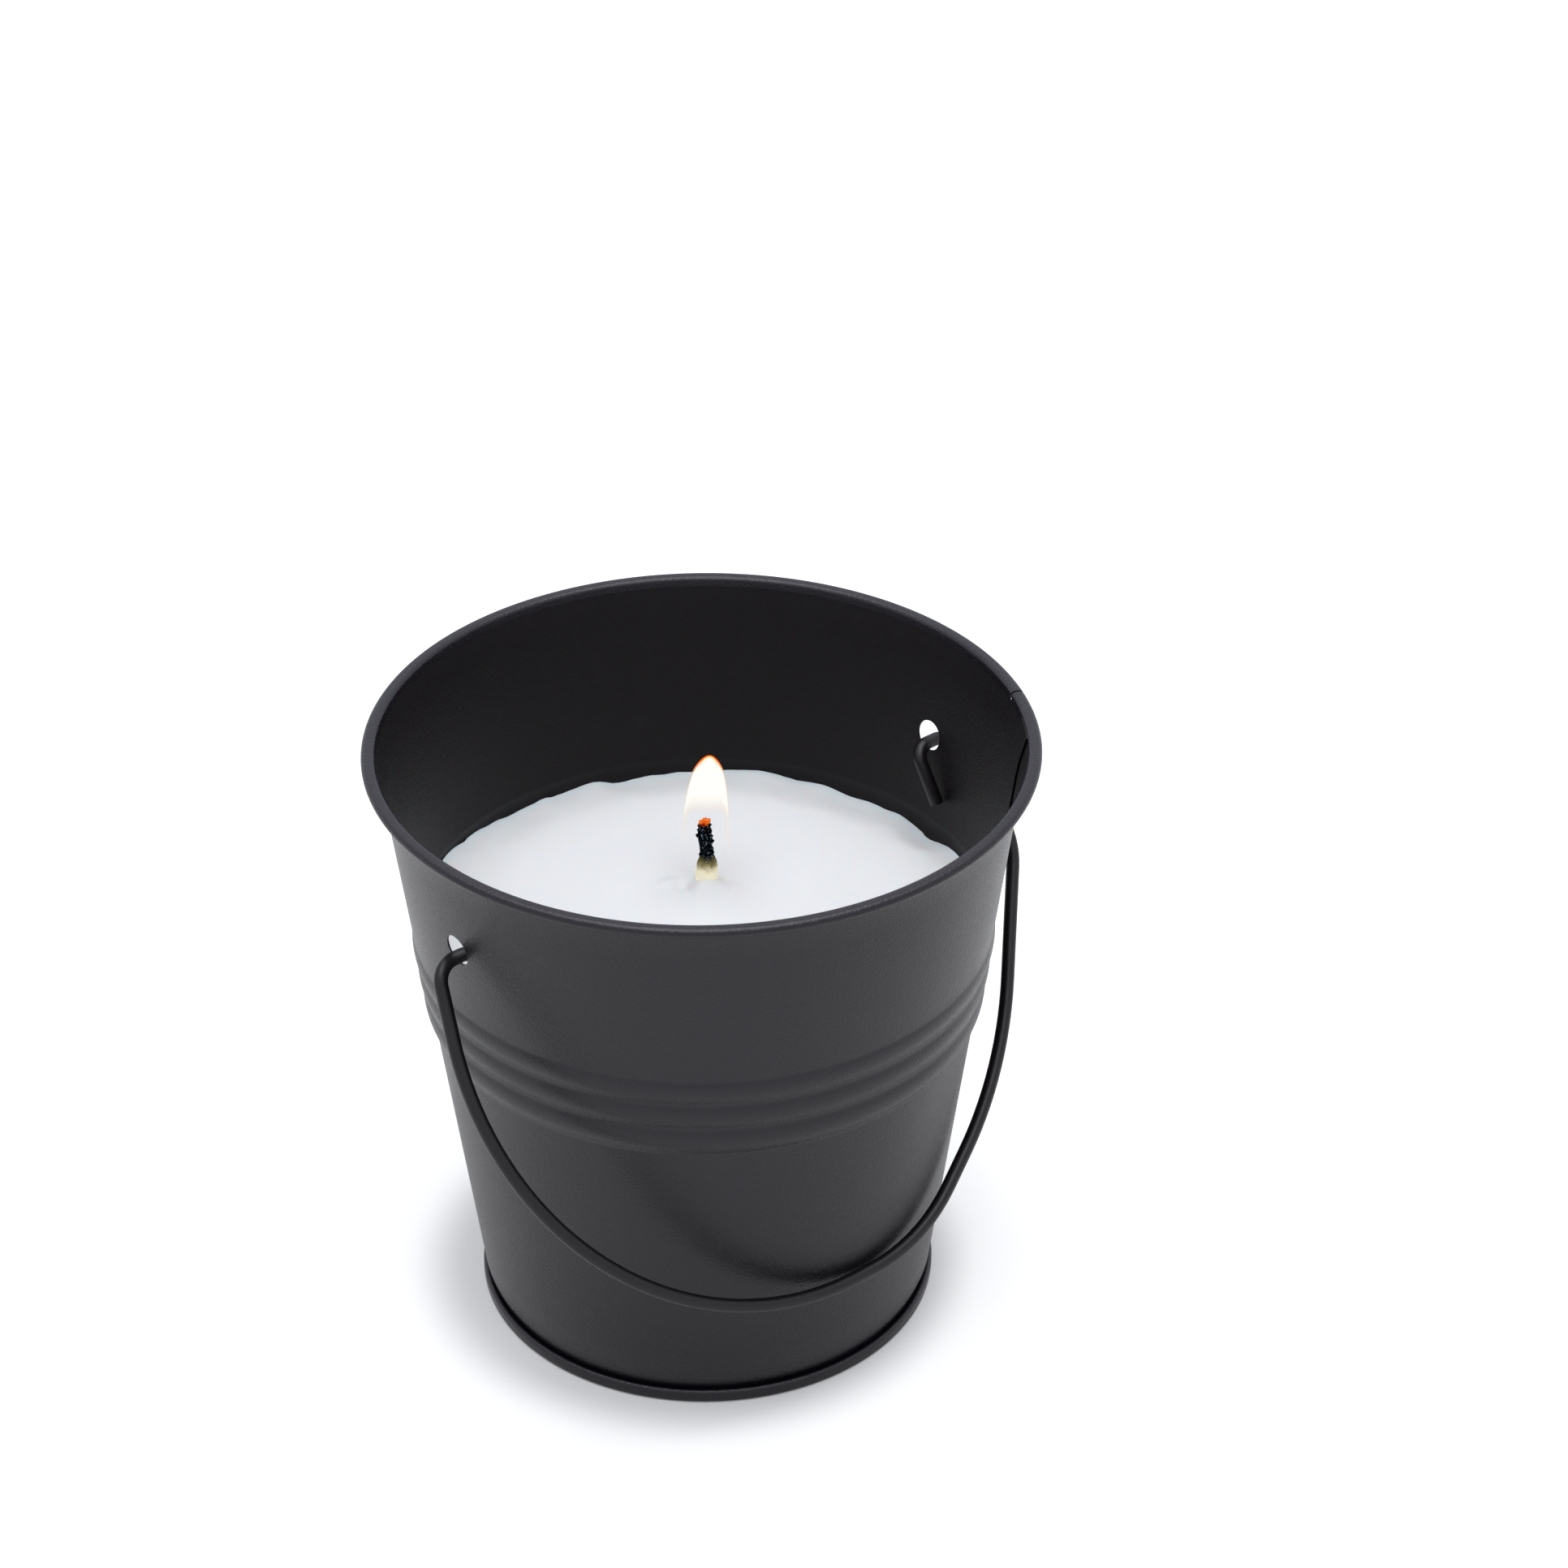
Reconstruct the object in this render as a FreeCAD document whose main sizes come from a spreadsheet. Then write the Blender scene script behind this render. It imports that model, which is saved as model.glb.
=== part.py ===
import FreeCAD, Part
import math
import os
from enum import IntEnum

import Sketcher

# A small tin bucket with a poured candle: a tapered sheet-metal wall with three rolled ribs and a
# rolled rim, a recessed base double-seamed to it, the wax with its wick and wick foot, and a wire bail.
#
# Frame: origin at the middle of the foot, Z up, X along the line through the two bail holes, the bail
# lying on the front of the wall (-Y). Millimetres and degrees.

os.makedirs("parts", exist_ok=True)

# Driving sizes
SIZES = {
    # Wall
    "bucket_height": 96.5,
    "rim_radius": 50.0,
    "base_radius": 34.48,
    "sheet_thickness": 0.28,
    # Rolled rim
    "curl_width": 2.1,
    "curl_height": 1.5,
    "curl_gap": 0.12,
    "flare_rise": 0.62,
    "flare_angle": 17.0,
    # Rolled ribs
    "top_rib_height": 64.1,
    "rib_pitch": 4.7,
    "rib_depth": 0.4,
    "rib_step": 0.45,
    "valley_share": 0.26,
    # Foot: double seam between wall and base
    "seam_radius": 35.4,
    "seam_height": 2.2,
    "seam_gap": 0.03,
    "foot_bend": 0.6,
    "neck_height": 1.3,
    "panel_height": 3.0,
    # Lapped side seam
    "lap_width": 4.6,
    "lap_azimuth": -24.7,
    "lap_slit_width": 0.35,
    # Bail and its holes
    "hole_drop": 17.3,
    "hole_diameter": 4.8,
    "wire_diameter": 2.1,
    "wire_seat_gap": 0.15,
    "bail_rest_gap": 0.15,
    "hook_length": 9.4,
    "hook_inset": 2.9,
    "hook_bend": 2.4,
    "leg_outset": 3.8,
    "leg_bend": 3.6,
    "bail_drop": 68.9,
    "left_leg_spread": 12.5,
    "left_leg_run": 6.5,
    "right_crown_shift": 10.7,
    "right_crown_bend": 31.5,
    "right_haunch_inset": 9.3,
    "right_haunch_rise": 17.6,
    "right_haunch_bend": 63.0,
    "right_shoulder_outset": 8.5,
    "right_shoulder_drop": 19.2,
    "right_shoulder_bend": 12.0,
    # Wax, wick and wick foot
    "wax_drop": 32.0,
    "wax_gap": 0.05,
    "meniscus_rise": 0.25,
    "meniscus_reach": 2.0,
    "wick_shift_right": 6.8,
    "wick_shift_back": 8.25,
    "wick_diameter": 2.3,
    "wick_root_diameter": 3.2,
    "wick_length": 10.9,
    "wick_tip_diameter": 1.2,
    "wick_sway": 0.45,
    "foot_diameter": 20.0,
    "foot_sheet": 0.25,
    "foot_neck_height": 6.0,
}


class Axis(IntEnum):
    """How a constraint numbers a sketch's own axes."""

    FLAT = -1
    UPRIGHT = -2


class Spot(IntEnum):
    """How a constraint numbers the points of a curve."""

    START = 1
    END = 2
    CENTRE = 3


# A sketch's origin is where its flat axis starts
ORIGIN = (Axis.FLAT, Spot.START)

doc = FreeCAD.newDocument("CandleBucket")

sheet = doc.addObject("Spreadsheet::Sheet", "Sizes")
for row, (alias, value) in enumerate(SIZES.items(), start=1):
    sheet.set(f"A{row}", alias)
    sheet.set(f"B{row}", str(value))
    sheet.setAlias(f"B{row}", alias)

worked = doc.addObject("App::VarSet", "Worked")
doc.recompute()


def size(alias):
    """How an expression names a driving size."""
    return f"Sizes.{alias}"


def work_out(name, formula):
    """Keeps a value worked out from the sizes and returns how an expression names it."""
    worked.addProperty("App::PropertyFloat", name, "Worked")
    worked.setExpression(name, formula)
    doc.recompute()
    return f"Worked.{name}"


SHEET = size("sheet_thickness")
HEIGHT = size("bucket_height")
RIM = size("rim_radius")
GAP = size("seam_gap")

# Rolled rim: a flattened roll whose two ends are half circles
CURL_BEND = work_out("curl_bend", f"{size('curl_height')} / 2")
CURL_MIDDLE = work_out("curl_middle", f"{HEIGHT} - {CURL_BEND}")
CURL_BOTTOM = work_out("curl_bottom", f"{HEIGHT} - {size('curl_height')}")
CURL_IN = work_out("curl_in", f"{RIM} - {size('curl_width')} + {CURL_BEND}")
CURL_OUT = work_out("curl_out", f"{RIM} - {CURL_BEND}")
FLARE_SIN = work_out("flare_sin", f"sin({size('flare_angle')})")
FLARE_COS = work_out("flare_cos", f"cos({size('flare_angle')})")

# Slope of the wall: its upper stretch runs up to the flare, which meets the rolled rim
FLARE_TOP = work_out("flare_top", f"{CURL_MIDDLE} + {CURL_BEND} * {FLARE_SIN}")
FLARE_OUT = work_out("flare_out", f"{CURL_IN} - {CURL_BEND} * {FLARE_COS} - {size('base_radius')}")
FLARE_OFF = work_out("flare_off", f"{size('rib_step')} - {SHEET} + {size('flare_rise')}")
WALL_ANGLE = work_out(
    "wall_angle",
    f"(atan({FLARE_OUT} / {FLARE_TOP}) - asin({FLARE_OFF} / hypot({FLARE_OUT}; {FLARE_TOP}))) / 1 deg",
)
WALL_SIN = work_out("wall_sin", f"sin({WALL_ANGLE})")
WALL_COS = work_out("wall_cos", f"cos({WALL_ANGLE})")
FLARE_TURN = work_out("flare_turn", f"{size('flare_angle')} - {WALL_ANGLE}")
FLARE_BEND = work_out("flare_bend", f"{size('flare_rise')} / (1 - cos({FLARE_TURN}))")
FLARE_START = work_out(
    "flare_start",
    f"{FLARE_OUT} * {WALL_SIN} + {FLARE_TOP} * {WALL_COS} - {FLARE_BEND} * sin({FLARE_TURN})",
)

# Ribs: crest and valley arcs that run smoothly into each other
RIB_WAY = work_out("rib_way", f"{size('rib_pitch')} / {WALL_COS}")
RIB_TURN = work_out("rib_turn", f"2 * atan(2 * {size('rib_depth')} / {RIB_WAY}) / 1 deg")
RIB_BENDS = work_out("rib_bends", f"{RIB_WAY} / (2 * sin({RIB_TURN}))")
VALLEY_BEND = work_out("valley_bend", f"{size('valley_share')} * {RIB_BENDS}")
CREST_BEND = work_out("crest_bend", f"{RIB_BENDS} - {VALLEY_BEND}")
CREST_OFF = work_out("crest_off", f"{size('rib_step')} + {size('rib_depth')} - {CREST_BEND}")
TOP_CREST = work_out("top_crest", f"{size('top_rib_height')} / {WALL_COS}")
STEP_TURN = work_out(
    "step_turn", f"acos(1 - ({size('rib_depth')} + {size('rib_step')}) / {RIB_BENDS}) / 1 deg"
)
RIB_COUNT = 3
OUTER_FLAT_COUNT = 3
INNER_FLAT_COUNT = 2
RIBS_START = work_out(
    "ribs_start", f"{TOP_CREST} - {RIB_COUNT - 1} * {RIB_WAY} - {RIB_BENDS} * sin({STEP_TURN})"
)

# Double seam at the foot, layer by layer from the outside in
SEAM_OUT = size("seam_radius")
HOOK_OUT = work_out("hook_out", f"{SEAM_OUT} - {SHEET} - {GAP}")
HOOK_IN = work_out("hook_in", f"{HOOK_OUT} - {SHEET}")
END_OUT = work_out("end_out", f"{HOOK_IN} - {GAP}")
END_IN = work_out("end_in", f"{END_OUT} - {SHEET}")
BODY_OUT = work_out("body_out", f"{END_IN} - {GAP}")
BODY_IN = work_out("body_in", f"{BODY_OUT} - {SHEET}")
CHUCK_OUT = work_out("chuck_out", f"{BODY_IN} - {GAP}")
CHUCK_IN = work_out("chuck_in", f"{CHUCK_OUT} - {SHEET}")
FOLD_BEND = work_out("fold_bend", f"({SEAM_OUT} - {END_IN}) / 2")
TOP_FOLD = work_out("top_fold", f"({SEAM_OUT} + {END_IN}) / 2")
TOP_FOLD_HEIGHT = work_out("top_fold_height", f"{size('seam_height')} - {FOLD_BEND}")
BODY_FOLD = work_out("body_fold", f"({HOOK_OUT} + {BODY_IN}) / 2")
BODY_FOLD_BEND = work_out("body_fold_bend", f"({HOOK_OUT} - {BODY_IN}) / 2")
BODY_FOLD_BOTTOM = work_out("body_fold_bottom", f"{SHEET} + {GAP}")
BODY_FOLD_HEIGHT = work_out("body_fold_height", f"{BODY_FOLD_BOTTOM} + {BODY_FOLD_BEND}")
NECK_LOW = work_out("neck_low", f"{size('seam_height')} + 2 * {SHEET}")
NECK_TOP = work_out("neck_top", f"({NECK_LOW} + {size('neck_height')}) / {WALL_COS}")
FOOT_BEND = size("foot_bend")
PANEL = size("panel_height")
PANEL_TOP = work_out("panel_top", f"{PANEL} + {SHEET}")

# Wax surface, measured down from the rim
WAX_LEVEL = work_out("wax_level", f"{HEIGHT} - {size('wax_drop')}")

# Bail: pivot on the bottom of its holes, resting on the front of the wall
WIRE_RADIUS = work_out("wire_radius", f"{size('wire_diameter')} / 2")
HOLE_HEIGHT = work_out("hole_height", f"{HEIGHT} - {size('hole_drop')}")
PIVOT = work_out(
    "pivot_height",
    f"{HOLE_HEIGHT} - {size('hole_diameter')} / 2 + {WIRE_RADIUS} + {size('wire_seat_gap')}",
)
HOLE_REACH = work_out(
    "hole_reach",
    f"{size('base_radius')} + {size('rib_step')} / {WALL_COS} + {PIVOT} * tan({WALL_ANGLE})",
)
REST_REACH = work_out(
    "rest_reach",
    f"{size('base_radius')} + {PIVOT} * tan({WALL_ANGLE})"
    f" + ({WIRE_RADIUS} + {size('bail_rest_gap')}) / {WALL_COS}",
)
REST_TILT = work_out(
    "rest_tilt", f"asin({REST_REACH} * {WALL_COS} / {size('bail_drop')}) / 1 deg - {WALL_ANGLE}"
)

# The left leg runs into one long bend, which ends on the crown; the crown's other bend follows it
LEFT_LEG = work_out("left_leg", f"hypot({size('left_leg_spread')}; {size('bail_drop')})")
LEFT_HALF_TURN = work_out(
    "left_half_turn", f"45 + atan({size('left_leg_spread')} / {size('bail_drop')}) / 2 deg"
)
LEFT_UP = work_out(
    "left_up", f"{LEFT_LEG} - {size('leg_bend')} * tan({LEFT_HALF_TURN}) - {size('left_leg_run')}"
)
LEFT_CORNER = work_out(
    "left_corner", f"{HOLE_REACH} + {size('leg_outset')} + {size('left_leg_spread')}"
)
HAUNCH_SLOPE = work_out(
    "haunch_slope",
    f"atan({size('right_haunch_rise')} / ({HOLE_REACH} - {size('right_haunch_inset')}"
    f" - {size('right_crown_shift')})) / 1 deg",
)
LEFT_ACROSS = work_out(
    "left_across",
    f"{LEFT_CORNER} + {size('right_crown_shift')} - {size('right_crown_bend')} * tan({HAUNCH_SLOPE} / 2)"
    f" - {WIRE_RADIUS}",
)
LEFT_BEND = work_out("left_bend", f"min({LEFT_UP}; {LEFT_ACROSS}) / tan({LEFT_HALF_TURN})")


def rounded(x, z, radius, first, last, flats):
    """Corners of a bend made in flats: points on its circle from one angle to the other."""
    corners = []
    for step in range(flats + 1):
        angle = f"(({first}) + (({last}) - ({first})) * {step} / {flats})"
        corners.append((f"{x} + {radius} * cos({angle})", f"{z} + {radius} * sin({angle})"))
    return corners


def on_slope(way, off):
    """Place `way` up the wall's slope and `off` out from the lower wall's outer face."""
    x = f"{size('base_radius')} + ({way}) * {WALL_SIN} + ({off}) * {WALL_COS}"
    z = f"({way}) * {WALL_COS} - ({off}) * {WALL_SIN}"
    return x, z


def wall_face(off, flats):
    """The wall from neck to flare, `off` out from its outer face: lower cone, ribs, upper cone."""
    crest = f"({CREST_BEND} + ({off}))"
    valley = f"{size('rib_step')} + ({off})"
    path = [on_slope(NECK_TOP, off), on_slope(RIBS_START, off)]
    for index in range(RIB_COUNT - 1, -1, -1):
        middle = f"{TOP_CREST} - {index} * {RIB_WAY}"
        for step in range(1, flats):
            angle = f"({1 - 2 * step / flats} * {RIB_TURN})"
            way = f"{middle} - {crest} * sin({angle})"
            path.append(on_slope(way, f"{CREST_OFF} + {crest} * cos({angle})"))
        path.append(on_slope(f"{middle} + {RIB_WAY} / 2", valley))
    path.append(on_slope(FLARE_START, valley))
    return path


def draw_outline(sketch, path):
    """Draws a closed outline with each corner bound to its two formulas."""
    corners = [FreeCAD.Vector(sketch.evalExpression(x), sketch.evalExpression(y), 0) for x, y in path]
    following = corners[1:] + corners[:1]
    sketch.addGeometry([Part.LineSegment(a, b) for a, b in zip(corners, following)], False)
    constraints = []
    bound = []
    for index, ((x, y), corner) in enumerate(zip(path, corners)):
        after = (index + 1) % len(path)
        constraints.append(Sketcher.Constraint("Coincident", index, Spot.END, after, Spot.START))
        for kind, formula, value, axis in (
            ("DistanceX", x, corner.x, Axis.UPRIGHT),
            ("DistanceY", y, corner.y, Axis.FLAT),
        ):
            if formula == "0":
                constraints.append(Sketcher.Constraint("PointOnObject", index, Spot.START, axis))
                continue
            bound.append((len(constraints), formula))
            constraints.append(Sketcher.Constraint(kind, *ORIGIN, index, Spot.START, value))
    sketch.addConstraint(constraints)
    for number, formula in bound:
        sketch.setExpression(f"Constraints[{number}]", formula)


def draw_circle(sketch, x, y, radius):
    """Draws a circle whose middle and radius are bound to their formulas."""
    middle = FreeCAD.Vector(sketch.evalExpression(x), sketch.evalExpression(y), 0)
    number = sketch.addGeometry(Part.Circle(middle, FreeCAD.Vector(0, 0, 1), sketch.evalExpression(radius)))
    for kind, formula, value, axis in (
        ("DistanceX", x, middle.x, Axis.UPRIGHT),
        ("DistanceY", y, middle.y, Axis.FLAT),
    ):
        if formula == "0":
            sketch.addConstraint(Sketcher.Constraint("PointOnObject", number, Spot.CENTRE, axis))
            continue
        place = sketch.addConstraint(Sketcher.Constraint(kind, *ORIGIN, number, Spot.CENTRE, value))
        sketch.setExpression(f"Constraints[{place}]", formula)
    place = sketch.addConstraint(Sketcher.Constraint("Radius", number, sketch.evalExpression(radius)))
    sketch.setExpression(f"Constraints[{place}]", radius)


def draw_route(sketch, corners):
    """Draws an open route of straight runs and tangent bends.

    Each corner is (x, y, radius). The corners are kept as points where the runs would meet.
    """
    places = []
    for x, y, _ in corners:
        places.append(FreeCAD.Vector(sketch.evalExpression(x), sketch.evalExpression(y), 0))
    starts = [places[0]]
    stops = []
    arcs = []
    for index in range(1, len(places) - 1):
        here = places[index]
        back = (places[index - 1] - here).normalize()
        ahead = (places[index + 1] - here).normalize()
        radius = sketch.evalExpression(corners[index][2])
        half = back.getAngle(ahead) / 2
        reach = radius / math.tan(half)
        centre = here + (back + ahead).normalize() * (radius / math.sin(half))
        first, last = here + back * reach, here + ahead * reach
        stops.append(first)
        starts.append(last)
        turns_left = (back * -1).cross(ahead).z > 0
        angles = [
            math.atan2(end.y - centre.y, end.x - centre.x)
            for end in ((first, last) if turns_left else (last, first))
        ]
        circle = Part.Circle(centre, FreeCAD.Vector(0, 0, 1), radius)
        ends = (Spot.START, Spot.END) if turns_left else (Spot.END, Spot.START)
        arcs.append((Part.ArcOfCircle(circle, *angles), ends, radius))
    stops.append(places[-1])

    runs = [sketch.addGeometry(Part.LineSegment(a, b)) for a, b in zip(starts, stops)]
    for index, (x, y, radius) in enumerate(corners):
        if 0 < index < len(corners) - 1:
            arc, (near, far), length = arcs[index - 1]
            number = sketch.addGeometry(arc)
            point = sketch.addGeometry(Part.Point(places[index]), True)
            sketch.addConstraint([
                Sketcher.Constraint("Tangent", runs[index - 1], Spot.END, number, near),
                Sketcher.Constraint("Tangent", runs[index], Spot.START, number, far),
                Sketcher.Constraint("PointOnObject", point, Spot.START, runs[index - 1]),
                Sketcher.Constraint("PointOnObject", point, Spot.START, runs[index]),
            ])
            place = sketch.addConstraint(Sketcher.Constraint("Radius", number, length))
            sketch.setExpression(f"Constraints[{place}]", radius)
            end = (point, Spot.START)
        else:
            end = (runs[0], Spot.START) if index == 0 else (runs[-1], Spot.END)
        for kind, formula, value, axis in (
            ("DistanceX", x, places[index].x, Axis.UPRIGHT),
            ("DistanceY", y, places[index].y, Axis.FLAT),
        ):
            if formula == "0":
                sketch.addConstraint(Sketcher.Constraint("PointOnObject", *end, axis))
                continue
            place = sketch.addConstraint(Sketcher.Constraint(kind, *ORIGIN, *end, value))
            sketch.setExpression(f"Constraints[{place}]", formula)


def new_body(name):
    """A sub-part whose label is its node's name."""
    body = doc.addObject("PartDesign::Body", name)
    body.Label = name
    return body


def new_sketch(body, name, role):
    """A sketch on one of the body's own origin planes."""
    sketch = body.newObject("Sketcher::SketchObject", name)
    plane = next(item for item in body.Origin.OriginFeatures if item.Role == role)
    sketch.AttachmentSupport = [(plane, "")]
    sketch.MapMode = "FlatFace"
    return sketch


def turn_round(body, sketch, name, kind="PartDesign::Revolution"):
    """Turns a sketch all the way round its upright axis."""
    feature = body.newObject(kind, name)
    feature.Profile = sketch
    feature.ReferenceAxis = (sketch, ["V_Axis"])
    feature.Angle = 360
    doc.recompute()
    return feature


def removed(feature):
    """Stops if a cut took nothing away."""
    before = feature.BaseFeature.Shape.Volume
    if feature.Shape.Volume >= before:
        raise RuntimeError(f"{feature.Label} cuts nothing")


def build_wall():
    """The sheet-metal wall, from the hook in the foot's seam to the rolled rim."""
    body = new_body("bucket_wall")
    hollow = f"({CURL_BEND} - {SHEET})"
    flare_end = f"(180 - {size('flare_angle')})"
    wall_under_rim = f"{CURL_IN} - {hollow} * {FLARE_COS}"
    curl_end = f"{wall_under_rim} + {size('curl_gap')}"
    path = [
        (HOOK_OUT, TOP_FOLD_HEIGHT),
        (HOOK_IN, TOP_FOLD_HEIGHT),
        (HOOK_IN, f"{BODY_FOLD_BOTTOM} + {SHEET}"),
        (BODY_OUT, f"{BODY_FOLD_BOTTOM} + {SHEET}"),
        (BODY_OUT, NECK_LOW),
        *wall_face("0", OUTER_FLAT_COUNT),
        (wall_under_rim, f"{CURL_MIDDLE} + {hollow} * {FLARE_SIN}"),
        (CURL_IN, f"{HEIGHT} - {SHEET}"),
        *rounded(CURL_OUT, CURL_MIDDLE, hollow, "90", "-90", 2),
        (curl_end, f"{CURL_BOTTOM} + {SHEET}"),
        (curl_end, CURL_BOTTOM),
        *rounded(CURL_OUT, CURL_MIDDLE, CURL_BEND, "-90", "90", 3),
        *rounded(CURL_IN, CURL_MIDDLE, CURL_BEND, "90", flare_end, 2),
        *reversed(wall_face(f"-{SHEET}", INNER_FLAT_COUNT)),
        (BODY_IN, NECK_LOW),
        (BODY_IN, BODY_FOLD_HEIGHT),
        (BODY_FOLD, BODY_FOLD_BOTTOM),
        (HOOK_OUT, BODY_FOLD_HEIGHT),
    ]
    profile = new_sketch(body, "WallProfile", "YZ_Plane")
    draw_outline(profile, path)
    turn_round(body, profile, "WallTurned")

    # Lapped side seam: a second layer that follows the ribs
    lap = new_sketch(body, "LapProfile", "XZ_Plane")
    lap.AttachmentOffset = FreeCAD.Placement(FreeCAD.Vector(), FreeCAD.Vector(0, 1, 0), 0)
    lap.setExpression(".AttachmentOffset.Rotation.Angle", size("lap_azimuth"))
    draw_outline(lap, wall_face(SHEET, OUTER_FLAT_COUNT) + wall_face(f"-{SHEET} / 2", OUTER_FLAT_COUNT)[::-1])
    strip = body.newObject("PartDesign::Revolution", "LapStrip")
    strip.Profile = lap
    strip.ReferenceAxis = (lap, ["V_Axis"])
    strip.Midplane = True
    strip.setExpression("Angle", f"{size('lap_width')} / {size('base_radius')} * 180 / pi")
    doc.recompute()

    # Slit where the two layers meet in the rolled rim
    slit = new_sketch(body, "SlitProfile", "XY_Plane")
    slit.AttachmentOffset = FreeCAD.Placement(FreeCAD.Vector(0, 0, 1), FreeCAD.Vector(0, 0, 1), 0)
    slit.setExpression(".AttachmentOffset.Base.z", HEIGHT)
    slit.setExpression(".AttachmentOffset.Rotation.Angle", size("lap_azimuth"))
    half = f"{size('lap_slit_width')} / 2"
    draw_outline(
        slit,
        [
            (f"{CURL_IN} - 2 * {CURL_BEND}", f"-3 * {half}"),
            (f"{CURL_IN}", f"-{half}"),
            (f"{RIM} + {CURL_BEND}", f"-{half}"),
            (f"{RIM} + {CURL_BEND}", half),
            (f"{CURL_IN}", half),
            (f"{CURL_IN} - 2 * {CURL_BEND}", f"3 * {half}"),
        ],
    )
    cut = body.newObject("PartDesign::Pocket", "RimSlit")
    cut.Profile = slit
    cut.setExpression("Length", CURL_BEND)
    doc.recompute()
    removed(cut)

    # Bail holes, through both sides
    holes = new_sketch(body, "HoleProfile", "YZ_Plane")
    draw_circle(holes, "0", HOLE_HEIGHT, f"{size('hole_diameter')} / 2")
    punched = body.newObject("PartDesign::Pocket", "BailHoles")
    punched.Profile = holes
    punched.Type = "ThroughAll"
    punched.Midplane = True
    doc.recompute()
    removed(punched)
    return body


def build_base():
    """The recessed base, whose edge is folded round the wall's hook."""
    body = new_body("base_plate")
    path = [
        ("0", PANEL),
        (CHUCK_IN, PANEL),
        (CHUCK_IN, FOOT_BEND),
        (f"{CHUCK_IN} + {FOOT_BEND}", "0"),
        *rounded(f"{SEAM_OUT} - {FOOT_BEND}", FOOT_BEND, FOOT_BEND, "-90", "0", 2),
        *rounded(TOP_FOLD, TOP_FOLD_HEIGHT, FOLD_BEND, "0", "180", 3),
        (END_IN, BODY_FOLD_HEIGHT),
        (END_OUT, BODY_FOLD_HEIGHT),
        (END_OUT, f"{TOP_FOLD_HEIGHT} + {GAP}"),
        (f"{SEAM_OUT} - {SHEET}", f"{TOP_FOLD_HEIGHT} + {GAP}"),
        (f"{SEAM_OUT} - {SHEET}", FOOT_BEND),
        (f"{SEAM_OUT} - {FOOT_BEND}", SHEET),
        (f"{CHUCK_IN} + {FOOT_BEND}", SHEET),
        (CHUCK_OUT, FOOT_BEND),
        (CHUCK_OUT, PANEL_TOP),
        ("0", PANEL_TOP),
    ]
    profile = new_sketch(body, "BaseProfile", "YZ_Plane")
    draw_outline(profile, path)
    turn_round(body, profile, "BaseTurned")
    return body


def build_wax():
    """The poured wax: it reaches into the wall's top rib and stands a little up the wall."""
    body = new_body("candle_wax")
    floor = work_out("wax_floor", f"{PANEL_TOP} + {size('wax_gap')}")
    inside = f"-{SHEET} - {size('wax_gap')}"
    valley = f"{size('rib_step')} + ({inside})"
    top = on_slope(FLARE_START, valley)
    path = [
        ("0", floor),
        (f"{CHUCK_OUT} - {size('wax_gap')}", floor),
        on_slope(NECK_TOP, inside),
        on_slope(RIBS_START, inside),
        on_slope(f"{TOP_CREST} - {RIB_WAY} / 2", valley),
        on_slope(TOP_CREST, f"{size('rib_depth')} + {valley}"),
        on_slope(f"{TOP_CREST} + {RIB_WAY} / 2", valley),
        top,
        ("0", top[1]),
    ]
    fill = new_sketch(body, "FillProfile", "YZ_Plane")
    draw_outline(fill, path)
    turn_round(body, fill, "WaxFill")

    # What lies above the wax's surface is taken off
    shore = work_out(
        "wax_shore",
        f"{size('base_radius')} + {size('rib_step')} + {size('rib_depth')} + {WAX_LEVEL} * tan({WALL_ANGLE})",
    )
    climb = f"{WAX_LEVEL} + {size('meniscus_rise')}"
    spare = new_sketch(body, "SurfaceProfile", "YZ_Plane")
    draw_outline(
        spare,
        [
            ("0", WAX_LEVEL),
            (f"{shore} - {size('meniscus_reach')}", WAX_LEVEL),
            (shore, climb),
            (RIM, climb),
            (RIM, HEIGHT),
            ("0", HEIGHT),
        ],
    )
    surface = turn_round(body, spare, "WaxSurface", "PartDesign::Groove")
    removed(surface)

    # Room for the wick and its foot
    for name, radius, depth in (
        ("WickBore", f"{size('wick_diameter')} / 2 + {size('wax_gap')}", None),
        ("FootRoom", f"{size('foot_diameter')} / 2 + {size('wax_gap')}", size("foot_sheet")),
        ("NeckRoom", f"{size('wick_diameter')} / 2 + {size('foot_sheet')} + 2 * {size('wax_gap')}",
         size("foot_neck_height")),
    ):
        sketch = new_sketch(body, f"{name}Profile", "XY_Plane")
        draw_circle(sketch, size("wick_shift_right"), size("wick_shift_back"), radius)
        sketch.AttachmentOffset = FreeCAD.Placement(FreeCAD.Vector(0, 0, 1), FreeCAD.Rotation())
        sketch.setExpression(".AttachmentOffset.Base.z", PANEL_TOP)
        room = body.newObject("PartDesign::Pocket", name)
        room.Profile = sketch
        room.Reversed = True
        if depth is None:
            room.Type = "ThroughAll"
        else:
            room.setExpression("Length", f"{depth} + {size('wax_gap')}")
        doc.recompute()
        removed(room)
    return body


def build_foot():
    """The pressed metal foot on the base, with the neck that grips the wick."""
    body = new_body("wick_sustainer")
    inside = f"{size('wick_diameter')} / 2 + {size('wax_gap')} / 2"
    outside = f"{inside} + {size('foot_sheet')}"
    profile = new_sketch(body, "FootProfile", "YZ_Plane")
    draw_outline(
        profile,
        [
            (inside, "0"),
            (f"{size('foot_diameter')} / 2", "0"),
            (f"{size('foot_diameter')} / 2", size("foot_sheet")),
            (outside, size("foot_sheet")),
            (outside, size("foot_neck_height")),
            (inside, size("foot_neck_height")),
        ],
    )
    turn_round(body, profile, "FootTurned")
    stand(body)
    return body


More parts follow.
